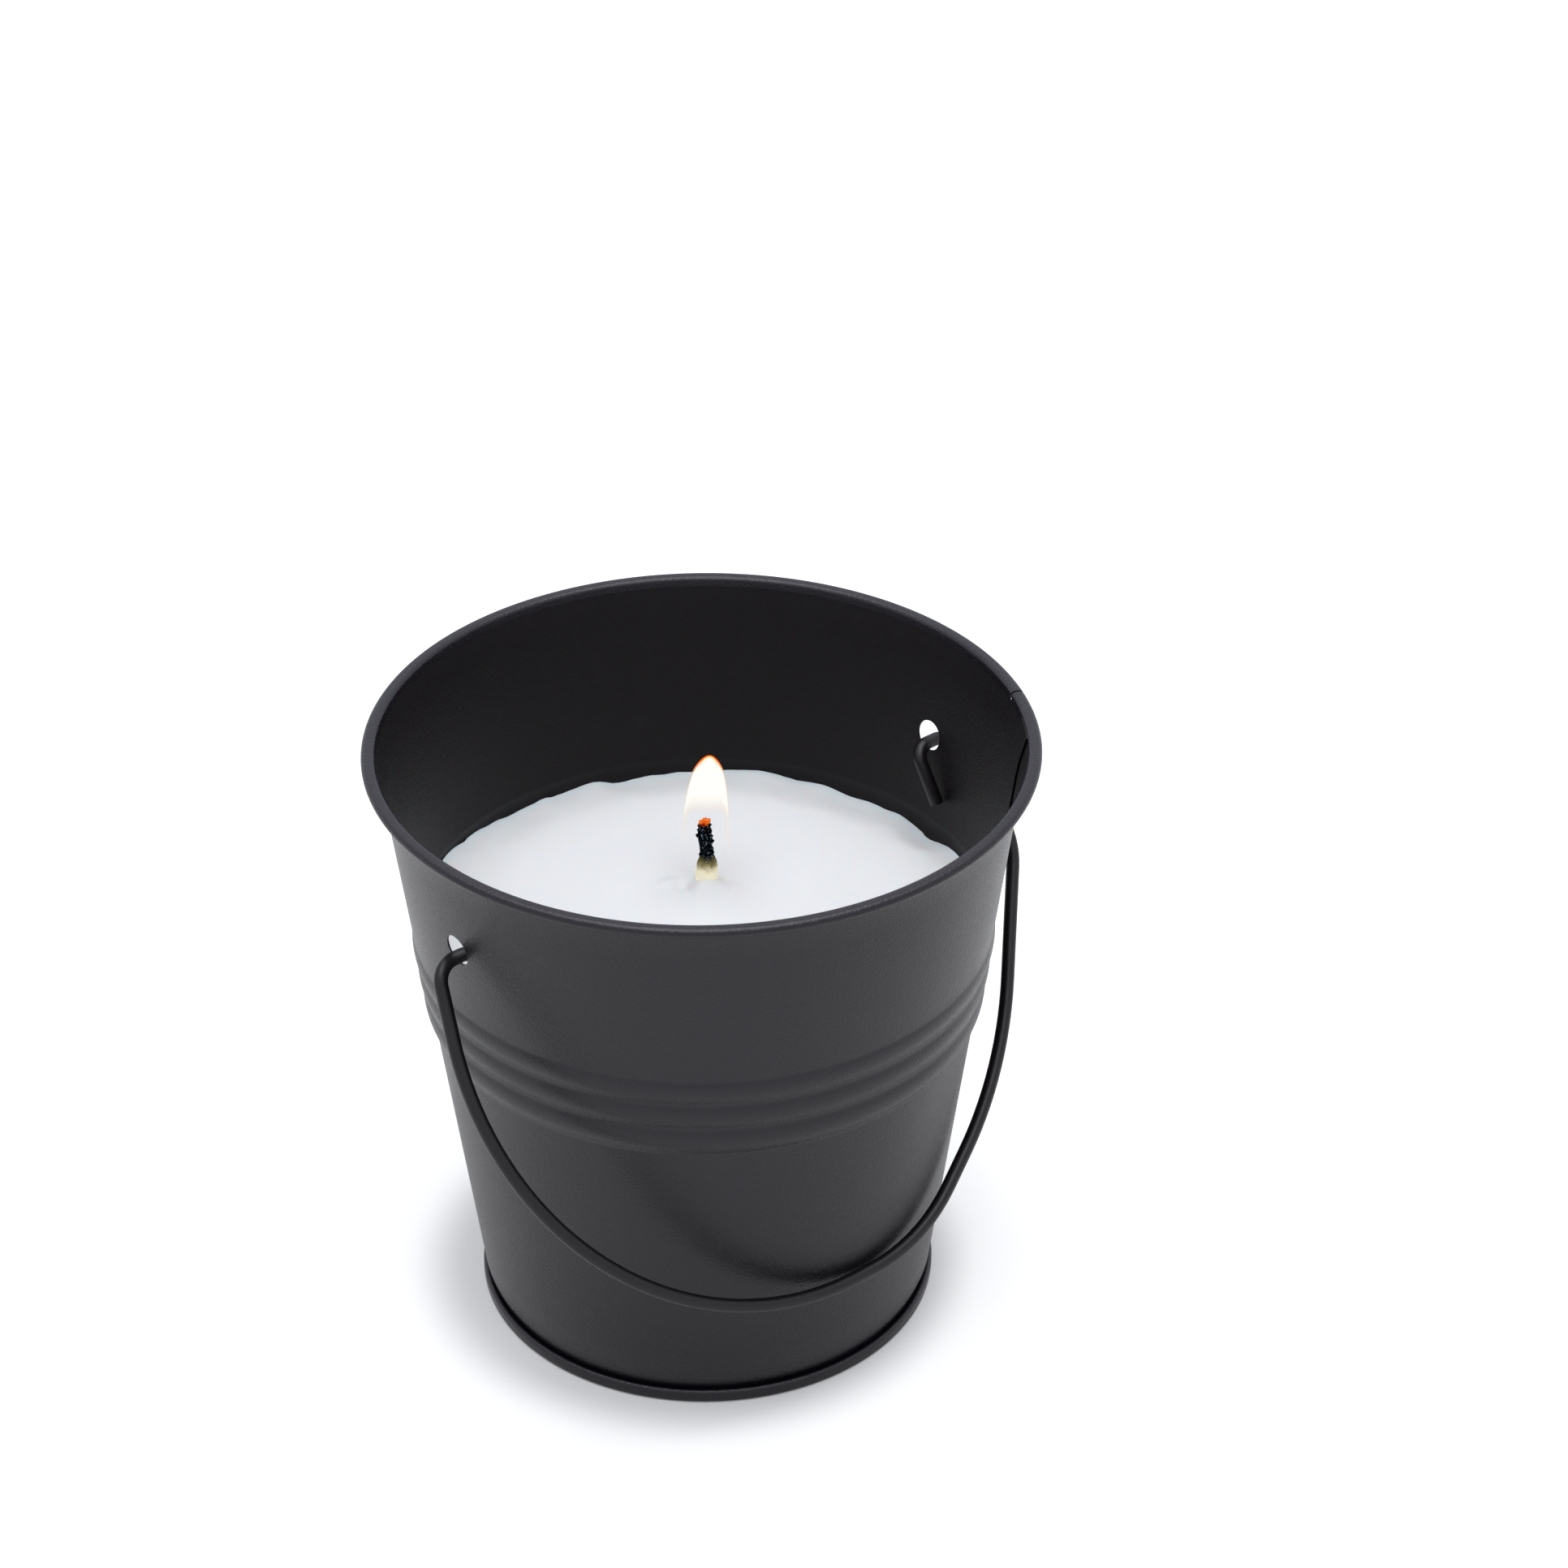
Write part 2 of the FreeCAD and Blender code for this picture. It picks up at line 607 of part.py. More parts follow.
def stand(body):
    """Stands a sub-part of the wick on the base, where the wick comes up."""
    body.setExpression(".Placement.Base.x", size("wick_shift_right"))
    body.setExpression(".Placement.Base.y", size("wick_shift_back"))
    body.setExpression(".Placement.Base.z", PANEL_TOP)


def build_wick():
    """The wick: a round cord up to the wax, then the swollen root, bent stem and burnt tip."""
    body = new_body("wick")
    buried = work_out("wick_buried", f"{WAX_LEVEL} - {PANEL_TOP}")
    cord = new_sketch(body, "CordProfile", "XY_Plane")
    draw_circle(cord, "0", "0", f"{size('wick_diameter')} / 2")
    pad = body.newObject("PartDesign::Pad", "BuriedCord")
    pad.Profile = cord
    pad.setExpression("Length", buried)
    doc.recompute()

    # Sections up the free end: share of its length, diameter, share of the sway to the side
    sections = (
        (0.0, size("wick_root_diameter"), "0"),
        (0.36, f"0.85 * {size('wick_root_diameter')}", f"0.3 * {size('wick_sway')}"),
        (0.66, f"0.6 * {size('wick_root_diameter')}", f"-0.8 * {size('wick_sway')}"),
        (0.88, f"1.4 * {size('wick_tip_diameter')}", size("wick_sway")),
        (1.0, size("wick_tip_diameter"), f"1.1 * {size('wick_sway')}"),
    )
    rings = []
    for index, (share, diameter, side) in enumerate(sections):
        ring = new_sketch(body, f"WickSection{index}", "XY_Plane")
        ring.AttachmentOffset = FreeCAD.Placement(FreeCAD.Vector(0, 0, 1), FreeCAD.Rotation())
        ring.setExpression(".AttachmentOffset.Base.z", f"{buried} + {share} * {size('wick_length')}")
        draw_circle(ring, side, "0", f"({diameter}) / 2")
        rings.append(ring)
    doc.recompute()
    loft = body.newObject("PartDesign::AdditiveLoft", "FreeEnd")
    loft.Profile = rings[0]
    loft.Sections = rings[1:]
    loft.Ruled = True
    doc.recompute()
    stand(body)
    return body


def build_bail():
    """The wire bail: two hooks, two legs and an uneven arch, in one plane."""
    body = new_body("bail_handle")
    hook_left = f"-({HOLE_REACH} - {size('hook_inset')})"
    hook_right = f"{HOLE_REACH} - {size('hook_inset')}"
    leg_left = f"-({HOLE_REACH} + {size('leg_outset')})"
    leg_right = f"{HOLE_REACH} + {size('leg_outset')}"
    drop = size("bail_drop")
    corners = [
        (hook_left, f"-{size('hook_length')}", None),
        (hook_left, "0", size("hook_bend")),
        (leg_left, "0", size("leg_bend")),
        (f"-{LEFT_CORNER}", f"-{drop}", LEFT_BEND),
        (size("right_crown_shift"), f"-{drop}", size("right_crown_bend")),
        (
            f"{HOLE_REACH} - {size('right_haunch_inset')}",
            f"-({drop} - {size('right_haunch_rise')})",
            size("right_haunch_bend"),
        ),
        (
            f"{HOLE_REACH} + {size('right_shoulder_outset')}",
            f"-{size('right_shoulder_drop')}",
            size("right_shoulder_bend"),
        ),
        (leg_right, "0", size("leg_bend")),
        (hook_right, "0", size("hook_bend")),
        (hook_right, f"-{size('hook_length')}", None),
    ]
    route = new_sketch(body, "WireRoute", "XZ_Plane")
    draw_route(route, corners)
    section = new_sketch(body, "WireSection", "XY_Plane")
    section.AttachmentOffset = FreeCAD.Placement(FreeCAD.Vector(0, 0, -1), FreeCAD.Rotation())
    section.setExpression(".AttachmentOffset.Base.z", f"-{size('hook_length')}")
    draw_circle(section, hook_left, "0", WIRE_RADIUS)
    doc.recompute()
    wire = body.newObject("PartDesign::AdditivePipe", "Wire")
    wire.Profile = section
    wire.Spine = (route, [f"Edge{index + 1}" for index in range(len(route.Shape.Edges))])
    doc.recompute()
    length = sum(edge.Length for edge in route.Shape.Edges)
    expected = length * math.pi * sheet.wire_diameter**2 / 4
    if abs(wire.Shape.Volume - expected) > 0.01 * expected:
        raise RuntimeError(f"wire volume {wire.Shape.Volume:.1f}, expected {expected:.1f}")
    body.Placement = FreeCAD.Placement(FreeCAD.Vector(), FreeCAD.Vector(-1, 0, 0), 1)
    body.setExpression(".Placement.Base.z", PIVOT)
    body.setExpression(".Placement.Rotation.Angle", REST_TILT)
    return body


bodies = [build_wall(), build_base(), build_wax(), build_foot(), build_wick(), build_bail()]
doc.recompute()

for item in doc.Objects:
    if "Invalid" in item.State or "Error" in item.State:
        raise RuntimeError(f"{item.Label} failed: {item.State}")
for body in bodies:
    shape = body.Shape
    if shape.isNull() or not shape.isValid() or not shape.Solids:
        raise RuntimeError(f"{body.Label} has no valid solid")
for body in bodies:
    body.Shape.exportStep(f"parts/{body.Label}.step")
    box = body.Shape.BoundBox
    print(
        f"{body.Label}: {len(body.Shape.Solids)} solid, {body.Shape.Volume:.1f} mm3, "
        f"X {box.XMin:.2f}..{box.XMax:.2f} Y {box.YMin:.2f}..{box.YMax:.2f} Z {box.ZMin:.2f}..{box.ZMax:.2f}"
    )
print(f"pivot height {worked.pivot_height:.3f}, rest tilt {worked.rest_tilt:.3f}")
print(f"wall angle {worked.wall_angle:.3f}")
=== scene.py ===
import logging
import math
from collections.abc import Callable, Iterable
from dataclasses import dataclass
from enum import Enum
from itertools import pairwise

import bmesh
import bpy
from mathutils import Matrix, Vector


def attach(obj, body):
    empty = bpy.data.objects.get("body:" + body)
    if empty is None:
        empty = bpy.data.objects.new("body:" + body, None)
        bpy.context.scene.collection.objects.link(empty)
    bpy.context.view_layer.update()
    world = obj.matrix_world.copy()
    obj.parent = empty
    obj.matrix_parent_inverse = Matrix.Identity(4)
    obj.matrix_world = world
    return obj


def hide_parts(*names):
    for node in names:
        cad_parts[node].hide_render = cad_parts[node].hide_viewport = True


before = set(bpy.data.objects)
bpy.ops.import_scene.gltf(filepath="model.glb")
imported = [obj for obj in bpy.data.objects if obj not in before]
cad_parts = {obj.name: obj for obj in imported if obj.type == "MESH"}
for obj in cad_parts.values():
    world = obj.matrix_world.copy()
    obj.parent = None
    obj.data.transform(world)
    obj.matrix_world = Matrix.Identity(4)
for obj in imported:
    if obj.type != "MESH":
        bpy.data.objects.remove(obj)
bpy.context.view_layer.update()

log = logging.getLogger("candle_bucket")

Point = tuple[float, float]
Triple = tuple[float, float, float]

MM = 0.001
MERGE = 2e-6
SHEET = 0.28
WICK_PLACE: Point = (6.8, 8.25)


class Body(Enum):
    """Bodies of the record that pieces move with."""

    BUCKET = "bucket"
    BAIL = "bail"


class Slot(Enum):
    """Material slots of the record."""

    PAINT = "black_paint"
    WIRE = "black_wire"
    WAX = "wax"
    COTTON = "cotton"


# Drawing and modelling


def arc(centre: Point, radius: float, first: float, last: float, steps: int) -> list[Point]:
    """Points along an arc of an outline.

    Args:
        centre: Centre of the arc, in millimetres.
        radius: Radius in millimetres.
        first: Angle of the first point, in degrees.
        last: Angle of the last point, in degrees.
        steps: Number of flats.

    Returns:
        The points, both ends included.
    """
    turns = [math.radians(first + (last - first) * step / steps) for step in range(steps + 1)]
    return [(centre[0] + radius * math.cos(turn), centre[1] + radius * math.sin(turn)) for turn in turns]


class Bench:
    """The modelling steps that every piece shares, each one or a few of Blender's operators."""

    @staticmethod
    def clear() -> None:
        """Leaves edit mode and deselects everything."""
        if bpy.context.object and bpy.context.object.mode != "OBJECT":
            bpy.ops.object.mode_set(mode="OBJECT")
        bpy.ops.object.select_all(action="DESELECT")

    @staticmethod
    def take(piece: bpy.types.Object) -> None:
        """Selects one piece alone and makes it the active one.

        Args:
            piece: The piece.
        """
        Bench.clear()
        piece.select_set(True)
        bpy.context.view_layer.objects.active = piece

    @staticmethod
    def apply(piece: bpy.types.Object, kind: str, **settings: object) -> None:
        """Gives a piece a modifier and applies it.

        Args:
            piece: Object to work on.
            kind: The modifier's type.
            settings: Its properties.
        """
        Bench.take(piece)
        modifier = piece.modifiers.new(kind.title(), kind)
        for word, value in settings.items():
            setattr(modifier, word, value)
        bpy.ops.object.modifier_apply(modifier=modifier.name)

    @staticmethod
    def seed(name: str, place: Vector) -> bpy.types.Object:
        """Starts a piece as one vertex, in edit mode.

        Args:
            name: Name of the new piece.
            place: Where the vertex goes, in metres.

        Returns:
            The new object, in edit mode with its vertex selected.
        """
        Bench.clear()
        bpy.ops.mesh.primitive_plane_add(size=MM)
        piece = bpy.context.object
        piece.name = piece.data.name = name
        bpy.ops.object.mode_set(mode="EDIT")
        bpy.ops.mesh.select_all(action="SELECT")
        bpy.ops.mesh.merge(type="CENTER")
        bpy.ops.transform.translate(value=place)
        return piece

    @staticmethod
    def turned(name: str, outline: list[Point], steps: int, angle: float = 360.0,
               middle: Point = (0.0, 0.0)) -> bpy.types.Object:
        """Turns an outline of (radius, height) round an upright axis.

        Args:
            name: Name of the new piece.
            outline: Points in millimetres, first to last.
            steps: Number of steps round.
            angle: How far round, in degrees.
            middle: Where the axis stands, (x, y) in millimetres.

        Returns:
            The new object, in object mode.
        """
        centre = Vector((middle[0] * MM, middle[1] * MM, 0.0))
        places = [centre + Vector((radius * MM, 0.0, height * MM)) for radius, height in outline]
        piece = Bench.seed(name, places[0])
        for before, after in pairwise(places):
            bpy.ops.mesh.extrude_region_move(TRANSFORM_OT_translate={"value": after - before})
        bpy.ops.mesh.select_all(action="SELECT")
        bpy.ops.mesh.remove_doubles(threshold=MERGE)
        bpy.ops.mesh.select_all(action="SELECT")
        bpy.ops.mesh.spin(steps=steps, angle=math.radians(angle), center=centre, axis=(0.0, 0.0, 1.0))
        Bench.seal()
        return piece

    @staticmethod
    def seal() -> None:
        """Merges doubled points, turns all faces outwards and leaves edit mode."""
        bpy.ops.mesh.select_all(action="SELECT")
        bpy.ops.mesh.remove_doubles(threshold=MERGE)
        bpy.ops.mesh.normals_make_consistent(inside=False)
        bpy.ops.object.mode_set(mode="OBJECT")

    @staticmethod
    def pick(piece: bpy.types.Object, rule: Callable[[Vector], bool]) -> None:
        """Selects the vertices whose place meets a rule, in edit mode.

        Args:
            piece: Object to select on.
            rule: Says whether a vertex at that place, in metres, is wanted.
        """
        if bpy.context.view_layer.objects.active is not piece or piece.mode != "EDIT":
            Bench.take(piece)
            bpy.ops.object.mode_set(mode="EDIT")
        bpy.ops.mesh.select_mode(type="VERT")
        bpy.ops.mesh.select_all(action="DESELECT")
        mesh = bmesh.from_edit_mesh(piece.data)
        for vertex in [vertex for vertex in mesh.verts if rule(vertex.co)]:
            vertex.select_set(True)
        mesh.select_flush(True)
        bmesh.update_edit_mesh(piece.data)

    @staticmethod
    def lift(rise: float, reach: float) -> None:
        """Raises what is selected, drawing its surroundings softly along.

        Args:
            rise: How far up it goes, in metres.
            reach: How far round the move fades out, in metres.
        """
        bpy.ops.transform.translate(
            value=(0.0, 0.0, rise), use_proportional_edit=True, proportional_edit_falloff="SMOOTH",
            proportional_size=reach,
        )

    @staticmethod
    def cut(piece: bpy.types.Object, tool: bpy.types.Object) -> None:
        """Takes one shape away from another and removes the tool."""
        Bench.apply(piece, "BOOLEAN", operation="DIFFERENCE", solver="EXACT", object=tool)
        bpy.data.objects.remove(tool, do_unlink=True)

    @staticmethod
    def roughen(piece: bpy.types.Object, grain: float, strength: float, group: str) -> None:
        """Displaces a surface by a cloudy pattern.

        Args:
            piece: Object to work on.
            grain: Size of the pattern in metres.
            strength: Height of the pattern in metres.
            group: Vertex group that limits it.
        """
        clouds = bpy.data.textures.new(f"{piece.name}_clouds", "CLOUDS")
        clouds.noise_scale = grain
        Bench.apply(
            piece, "DISPLACE", texture=clouds, texture_coords="LOCAL", strength=strength, vertex_group=group
        )

    @staticmethod
    def smooth(piece: bpy.types.Object, angle: float = 40.0) -> None:
        """Shades a piece smooth, with hard edges where its faces turn by more than an angle in degrees."""
        Bench.take(piece)
        bpy.ops.object.shade_smooth_by_angle(angle=math.radians(angle))

    @staticmethod
    def dress(piece: bpy.types.Object, material: bpy.types.Material) -> None:
        """Gives a piece one material on all its faces."""
        piece.data.materials.clear()
        piece.data.materials.append(material)


# Finishes


class Nodes:
    """A node tree with short ways to add and join its nodes."""

    def __init__(self, tree: bpy.types.NodeTree) -> None:
        """Works on a tree."""
        self.tree = tree

    def add(self, kind: str, **values: object) -> bpy.types.Node:
        """Adds a node.

        Args:
            kind: The node's type.
            values: Its properties, or its input sockets where the word names one.

        Returns:
            The node.
        """
        node = self.tree.nodes.new(kind)
        for word, value in values.items():
            socket = word.replace("_", " ").title()
            if hasattr(node, word):
                setattr(node, word, value)
            else:
                node.inputs[socket].default_value = value
        return node

    def join(self, source: bpy.types.NodeSocket, target: bpy.types.NodeSocket) -> None:
        """Joins an output to an input."""
        self.tree.links.new(source, target)

    def sum(self, operation: str, first: object, second: object, third: object = None,
            clamp: bool = False) -> bpy.types.NodeSocket:
        """Adds a Math node.

        Args:
            operation: Its operation.
            first: First input, a socket or a number.
            second: Second input, a socket or a number.
            third: Third input, a socket or a number, where the operation has one.
            clamp: Whether the result is kept between 0 and 1.

        Returns:
            Its output.
        """
        node = self.tree.nodes.new("ShaderNodeMath")
        node.operation = operation
        node.use_clamp = clamp
        for socket, value in zip(node.inputs, (first, second, third)):
            if isinstance(value, bpy.types.NodeSocket):
                self.join(value, socket)
            elif value is not None:
                socket.default_value = value
        return node.outputs[0]

    def blend(self, share: bpy.types.NodeSocket, first: object, second: object) -> bpy.types.NodeSocket:
        """Mixes two colours.

        Args:
            share: How much of the second colour, 0 to 1.
            first: A colour or a socket.
            second: A colour or a socket.

        Returns:
            The mixed colour.
        """
        node = self.tree.nodes.new("ShaderNodeMix")
        node.data_type = "RGBA"
        self.join(share, node.inputs["Factor"])
        for socket, value in ((node.inputs[6], first), (node.inputs[7], second)):
            if isinstance(value, bpy.types.NodeSocket):
                self.join(value, socket)
            else:
                socket.default_value = (*value, 1.0)
        return node.outputs[2]

    def relief(self, height: bpy.types.NodeSocket, depth: float, shader: bpy.types.Node) -> None:
        """Bends a shader's normal as if its surface had relief.

        Args:
            height: Output that carries the relief.
            depth: Height of the relief in metres.
            shader: The shader.
        """
        bump = self.add("ShaderNodeBump", distance=depth)
        self.join(height, bump.inputs["Height"])
        self.join(bump.outputs["Normal"], shader.inputs["Normal"])

    def slope(self, value: bpy.types.NodeSocket, low: float, high: float) -> bpy.types.NodeSocket:
        """Adds a smooth rise from 0 to 1.

        Args:
            value: What it follows.
            low: Value at which it leaves 0.
            high: Value at which it reaches 1.

        Returns:
            Its output.
        """
        node = self.tree.nodes.new("ShaderNodeMapRange")
        node.interpolation_type = "SMOOTHSTEP"
        self.join(value, node.inputs["Value"])
        node.inputs["From Min"].default_value = low
        node.inputs["From Max"].default_value = high
        return node.outputs["Result"]


def make_grain_group() -> bpy.types.NodeTree:
    """Builds the shared effect of a sprayed or cast surface: fine grain and slow mottling.

    Returns:
        A node group with inputs Size and Mottle Size, and outputs Height and Mottle.
    """
    group = bpy.data.node_groups.new("surface_grain", "ShaderNodeTree")
    for name, value in (("Size", 0.0004), ("Mottle Size", 0.02)):
        socket = group.interface.new_socket(name, in_out="INPUT", socket_type="NodeSocketFloat")
        socket.default_value = value
    for name in ("Height", "Mottle"):
        group.interface.new_socket(name, in_out="OUTPUT", socket_type="NodeSocketFloat")
    nodes = Nodes(group)
    given = nodes.add("NodeGroupInput")
    coordinates = nodes.add("ShaderNodeTexCoord")
    fine = nodes.add("ShaderNodeTexNoise", detail=2.0, roughness=0.6)
    nodes.join(coordinates.outputs["Object"], fine.inputs["Vector"])
    nodes.join(nodes.sum("DIVIDE", 1.0, given.outputs["Size"]), fine.inputs["Scale"])
    slow = nodes.add("ShaderNodeTexNoise", detail=4.0, roughness=0.55)
    nodes.join(coordinates.outputs["Object"], slow.inputs["Vector"])
    nodes.join(nodes.sum("DIVIDE", 1.0, given.outputs["Mottle Size"]), slow.inputs["Scale"])
    result = nodes.add("NodeGroupOutput")
    nodes.join(fine.outputs["Fac"], result.inputs["Height"])
    nodes.join(slow.outputs["Fac"], result.inputs["Mottle"])
    return group


@dataclass(frozen=True)
class Finish:
    """What every finish starts from.

    Attributes:
        name: Name of the material.
        colour: Base colour, linear.
        roughness: Mean roughness.
    """

    name: str
    colour: Triple
    roughness: float

    def start(self) -> tuple[bpy.types.Material, Nodes, bpy.types.Node]:
        """Makes the material with its shader.

        Returns:
            The material, its nodes, and its Principled shader.
        """
        material = bpy.data.materials.new(self.name)
        material.use_nodes = True
        nodes = Nodes(material.node_tree)
        shader = material.node_tree.nodes["Principled BSDF"]
        shader.inputs["Base Color"].default_value = (*self.colour, 1.0)
        shader.inputs["Roughness"].default_value = self.roughness
        return material, nodes, shader


@dataclass(frozen=True)
class GrainyFinish(Finish):
    """A finish with fine grain and slow mottling.

    Attributes:
        grain_size: Size of the fine grain in metres.
        mottle_size: Size of the mottling in metres.
        bump: Height of the grain in metres.
        roughness_swing: How far mottling moves the roughness.
        roughness_speckle: How far the fine grain moves the roughness.
        colour_swing: How far mottling moves the colour, as a share.
        specular: Specular level.
        sheen_tint: Colour of what the surface mirrors head-on.
        metallic: Metallic share.
        scatter: Subsurface weight.
        scatter_reach: Subsurface scale in metres.
    """

    grain_size: float = 0.0004
    mottle_size: float = 0.018
    bump: float = 0.00002
    roughness_swing: float = 0.08
    roughness_speckle: float = 0.0
    colour_swing: float = 0.15
    specular: float = 0.5
    sheen_tint: Triple = (1.0, 1.0, 1.0)
    metallic: float = 0.0
    scatter: float = 0.0
    scatter_reach: float = 0.004

    def make(self, grain: bpy.types.NodeTree) -> bpy.types.Material:
        """Builds the material.

        Args:
            grain: The shared grain effect.

        Returns:
            The material.
        """
        material, nodes, shader = self.start()
        effect = nodes.add(
            "ShaderNodeGroup", node_tree=grain, size=self.grain_size, mottle_size=self.mottle_size
        )
        rough = nodes.sum("SUBTRACT", effect.outputs["Mottle"], 0.5)
        rough = nodes.sum("MULTIPLY_ADD", rough, self.roughness_swing * 2.0, self.roughness)
        speckle = nodes.sum("SUBTRACT", effect.outputs["Height"], 0.5)
        rough = nodes.sum("MULTIPLY_ADD", speckle, self.roughness_speckle, rough)
        nodes.join(rough, shader.inputs["Roughness"])
        light = tuple(min(1.0, part * (1.0 + self.colour_swing)) for part in self.colour)
        dark = tuple(part * (1.0 - self.colour_swing) for part in self.colour)
        nodes.join(nodes.blend(effect.outputs["Mottle"], dark, light), shader.inputs["Base Color"])
        nodes.relief(effect.outputs["Height"], self.bump, shader)
        shader.inputs["Specular IOR Level"].default_value = self.specular
        shader.inputs["Specular Tint"].default_value = (*self.sheen_tint, 1.0)
        shader.inputs["Metallic"].default_value = self.metallic
        shader.inputs["Subsurface Weight"].default_value = self.scatter
        shader.inputs["Subsurface Scale"].default_value = self.scatter_reach
        return material


@dataclass(frozen=True)
class WickFinish(Finish):
    """Cotton that turns from cream through black char to a glowing end, by height.

    Attributes:
        char: Colour of the char.
        painted_glint: Colour of the char's glints, painted highlights in its base colour.
        scorch: Colour of the scorched cotton between the clean foot and the char.
        painted_flame_glow: Colour that the waxy foot glows in, painted light of the flame shining through
            the cotton.
        ember: Colours that the end glows in, dim and bright.
        scorch_painted_glow: Colour that the scorched cotton still glows in, painted light of the flame.
        char_from: Height where the char begins, in metres.
        char_depth: How far above that the char is full, in metres.
        scorch_reach: Where the scorch begins and is full, in metres from the char's beginning.
        glow_reach: Heights where the glow begins and is full, in metres.
        raggedness: How far the mottling moves these heights, in metres.
        painted_glint_range: Stretch of the grain where the char turns to painted glints.
        ember_range: Stretch of the grain where the glow turns from dim to bright.
        grain_size: Size of the grain in metres.
        mottle_size: Size of the mottling in metres.
        bump: Height of the grain in metres.
        specular: Specular level.
    """

    char: Triple = (0.0025, 0.0035, 0.006)
    painted_glint: Triple = (0.32, 0.52, 0.62)
    scorch: Triple = (0.34, 0.28, 0.10)
    painted_flame_glow: Triple = (0.36, 0.34, 0.27)
    ember: tuple[Triple, ...] = ((0.45, 0.012, 0.0), (1.0, 0.22, 0.005))
    scorch_painted_glow: Triple = (0.06, 0.05, 0.02)
    char_from: float = 0.0680
    char_depth: float = 0.0024
    scorch_reach: Point = (-0.0008, 0.0012)
    glow_reach: Point = (0.0755, 0.0761)
    raggedness: float = 0.0016
    painted_glint_range: Point = (0.62, 0.655)
    ember_range: Point = (0.4, 0.6)
    grain_size: float = 0.0003
    mottle_size: float = 0.0008
    bump: float = 0.00012
    specular: float = 0.02

    def make(self, grain: bpy.types.NodeTree) -> bpy.types.Material:
        """Builds the material.

        Args:
            grain: The shared grain effect.

        Returns:
            The material.
        """
        material, nodes, shader = self.start()
        effect = nodes.add(
            "ShaderNodeGroup", node_tree=grain, size=self.grain_size, mottle_size=self.mottle_size
        )
        split = nodes.add("ShaderNodeSeparateXYZ")
        nodes.join(nodes.add("ShaderNodeTexCoord").outputs["Object"], split.inputs["Vector"])
        ragged = nodes.sum("MULTIPLY_ADD", effect.outputs["Mottle"], self.raggedness, split.outputs["Z"])
        charred = nodes.slope(ragged, self.char_from, self.char_from + self.char_depth)
        scorched = nodes.slope(ragged, *(self.char_from + reach for reach in self.scorch_reach))
        glowing = nodes.slope(ragged, *self.glow_reach)
        fine = effect.outputs["Height"]
        # Painted highlights: the char's glints are bright spots in its base colour.
        black = nodes.blend(nodes.slope(fine, *self.painted_glint_range), self.char, self.painted_glint)
        clean = nodes.blend(scorched, self.colour, self.scorch)
        nodes.join(nodes.blend(charred, clean, black), shader.inputs["Base Color"])
        # The cream and scorched cotton glow with painted light of the flame; only the ember's glow is its
        # own.
        painted_flame_glow = nodes.blend(scorched, self.painted_flame_glow, self.scorch_painted_glow)
        painted_flame_glow = nodes.blend(charred, painted_flame_glow, (0.0, 0.0, 0.0))
        ember = nodes.blend(nodes.slope(fine, *self.ember_range), *self.ember)
        nodes.join(nodes.blend(glowing, painted_flame_glow, ember), shader.inputs["Emission Color"])
        shader.inputs["Specular IOR Level"].default_value = self.specular
        shader.inputs["Emission Strength"].default_value = 1.0
        nodes.relief(fine, self.bump, shader)
        return material


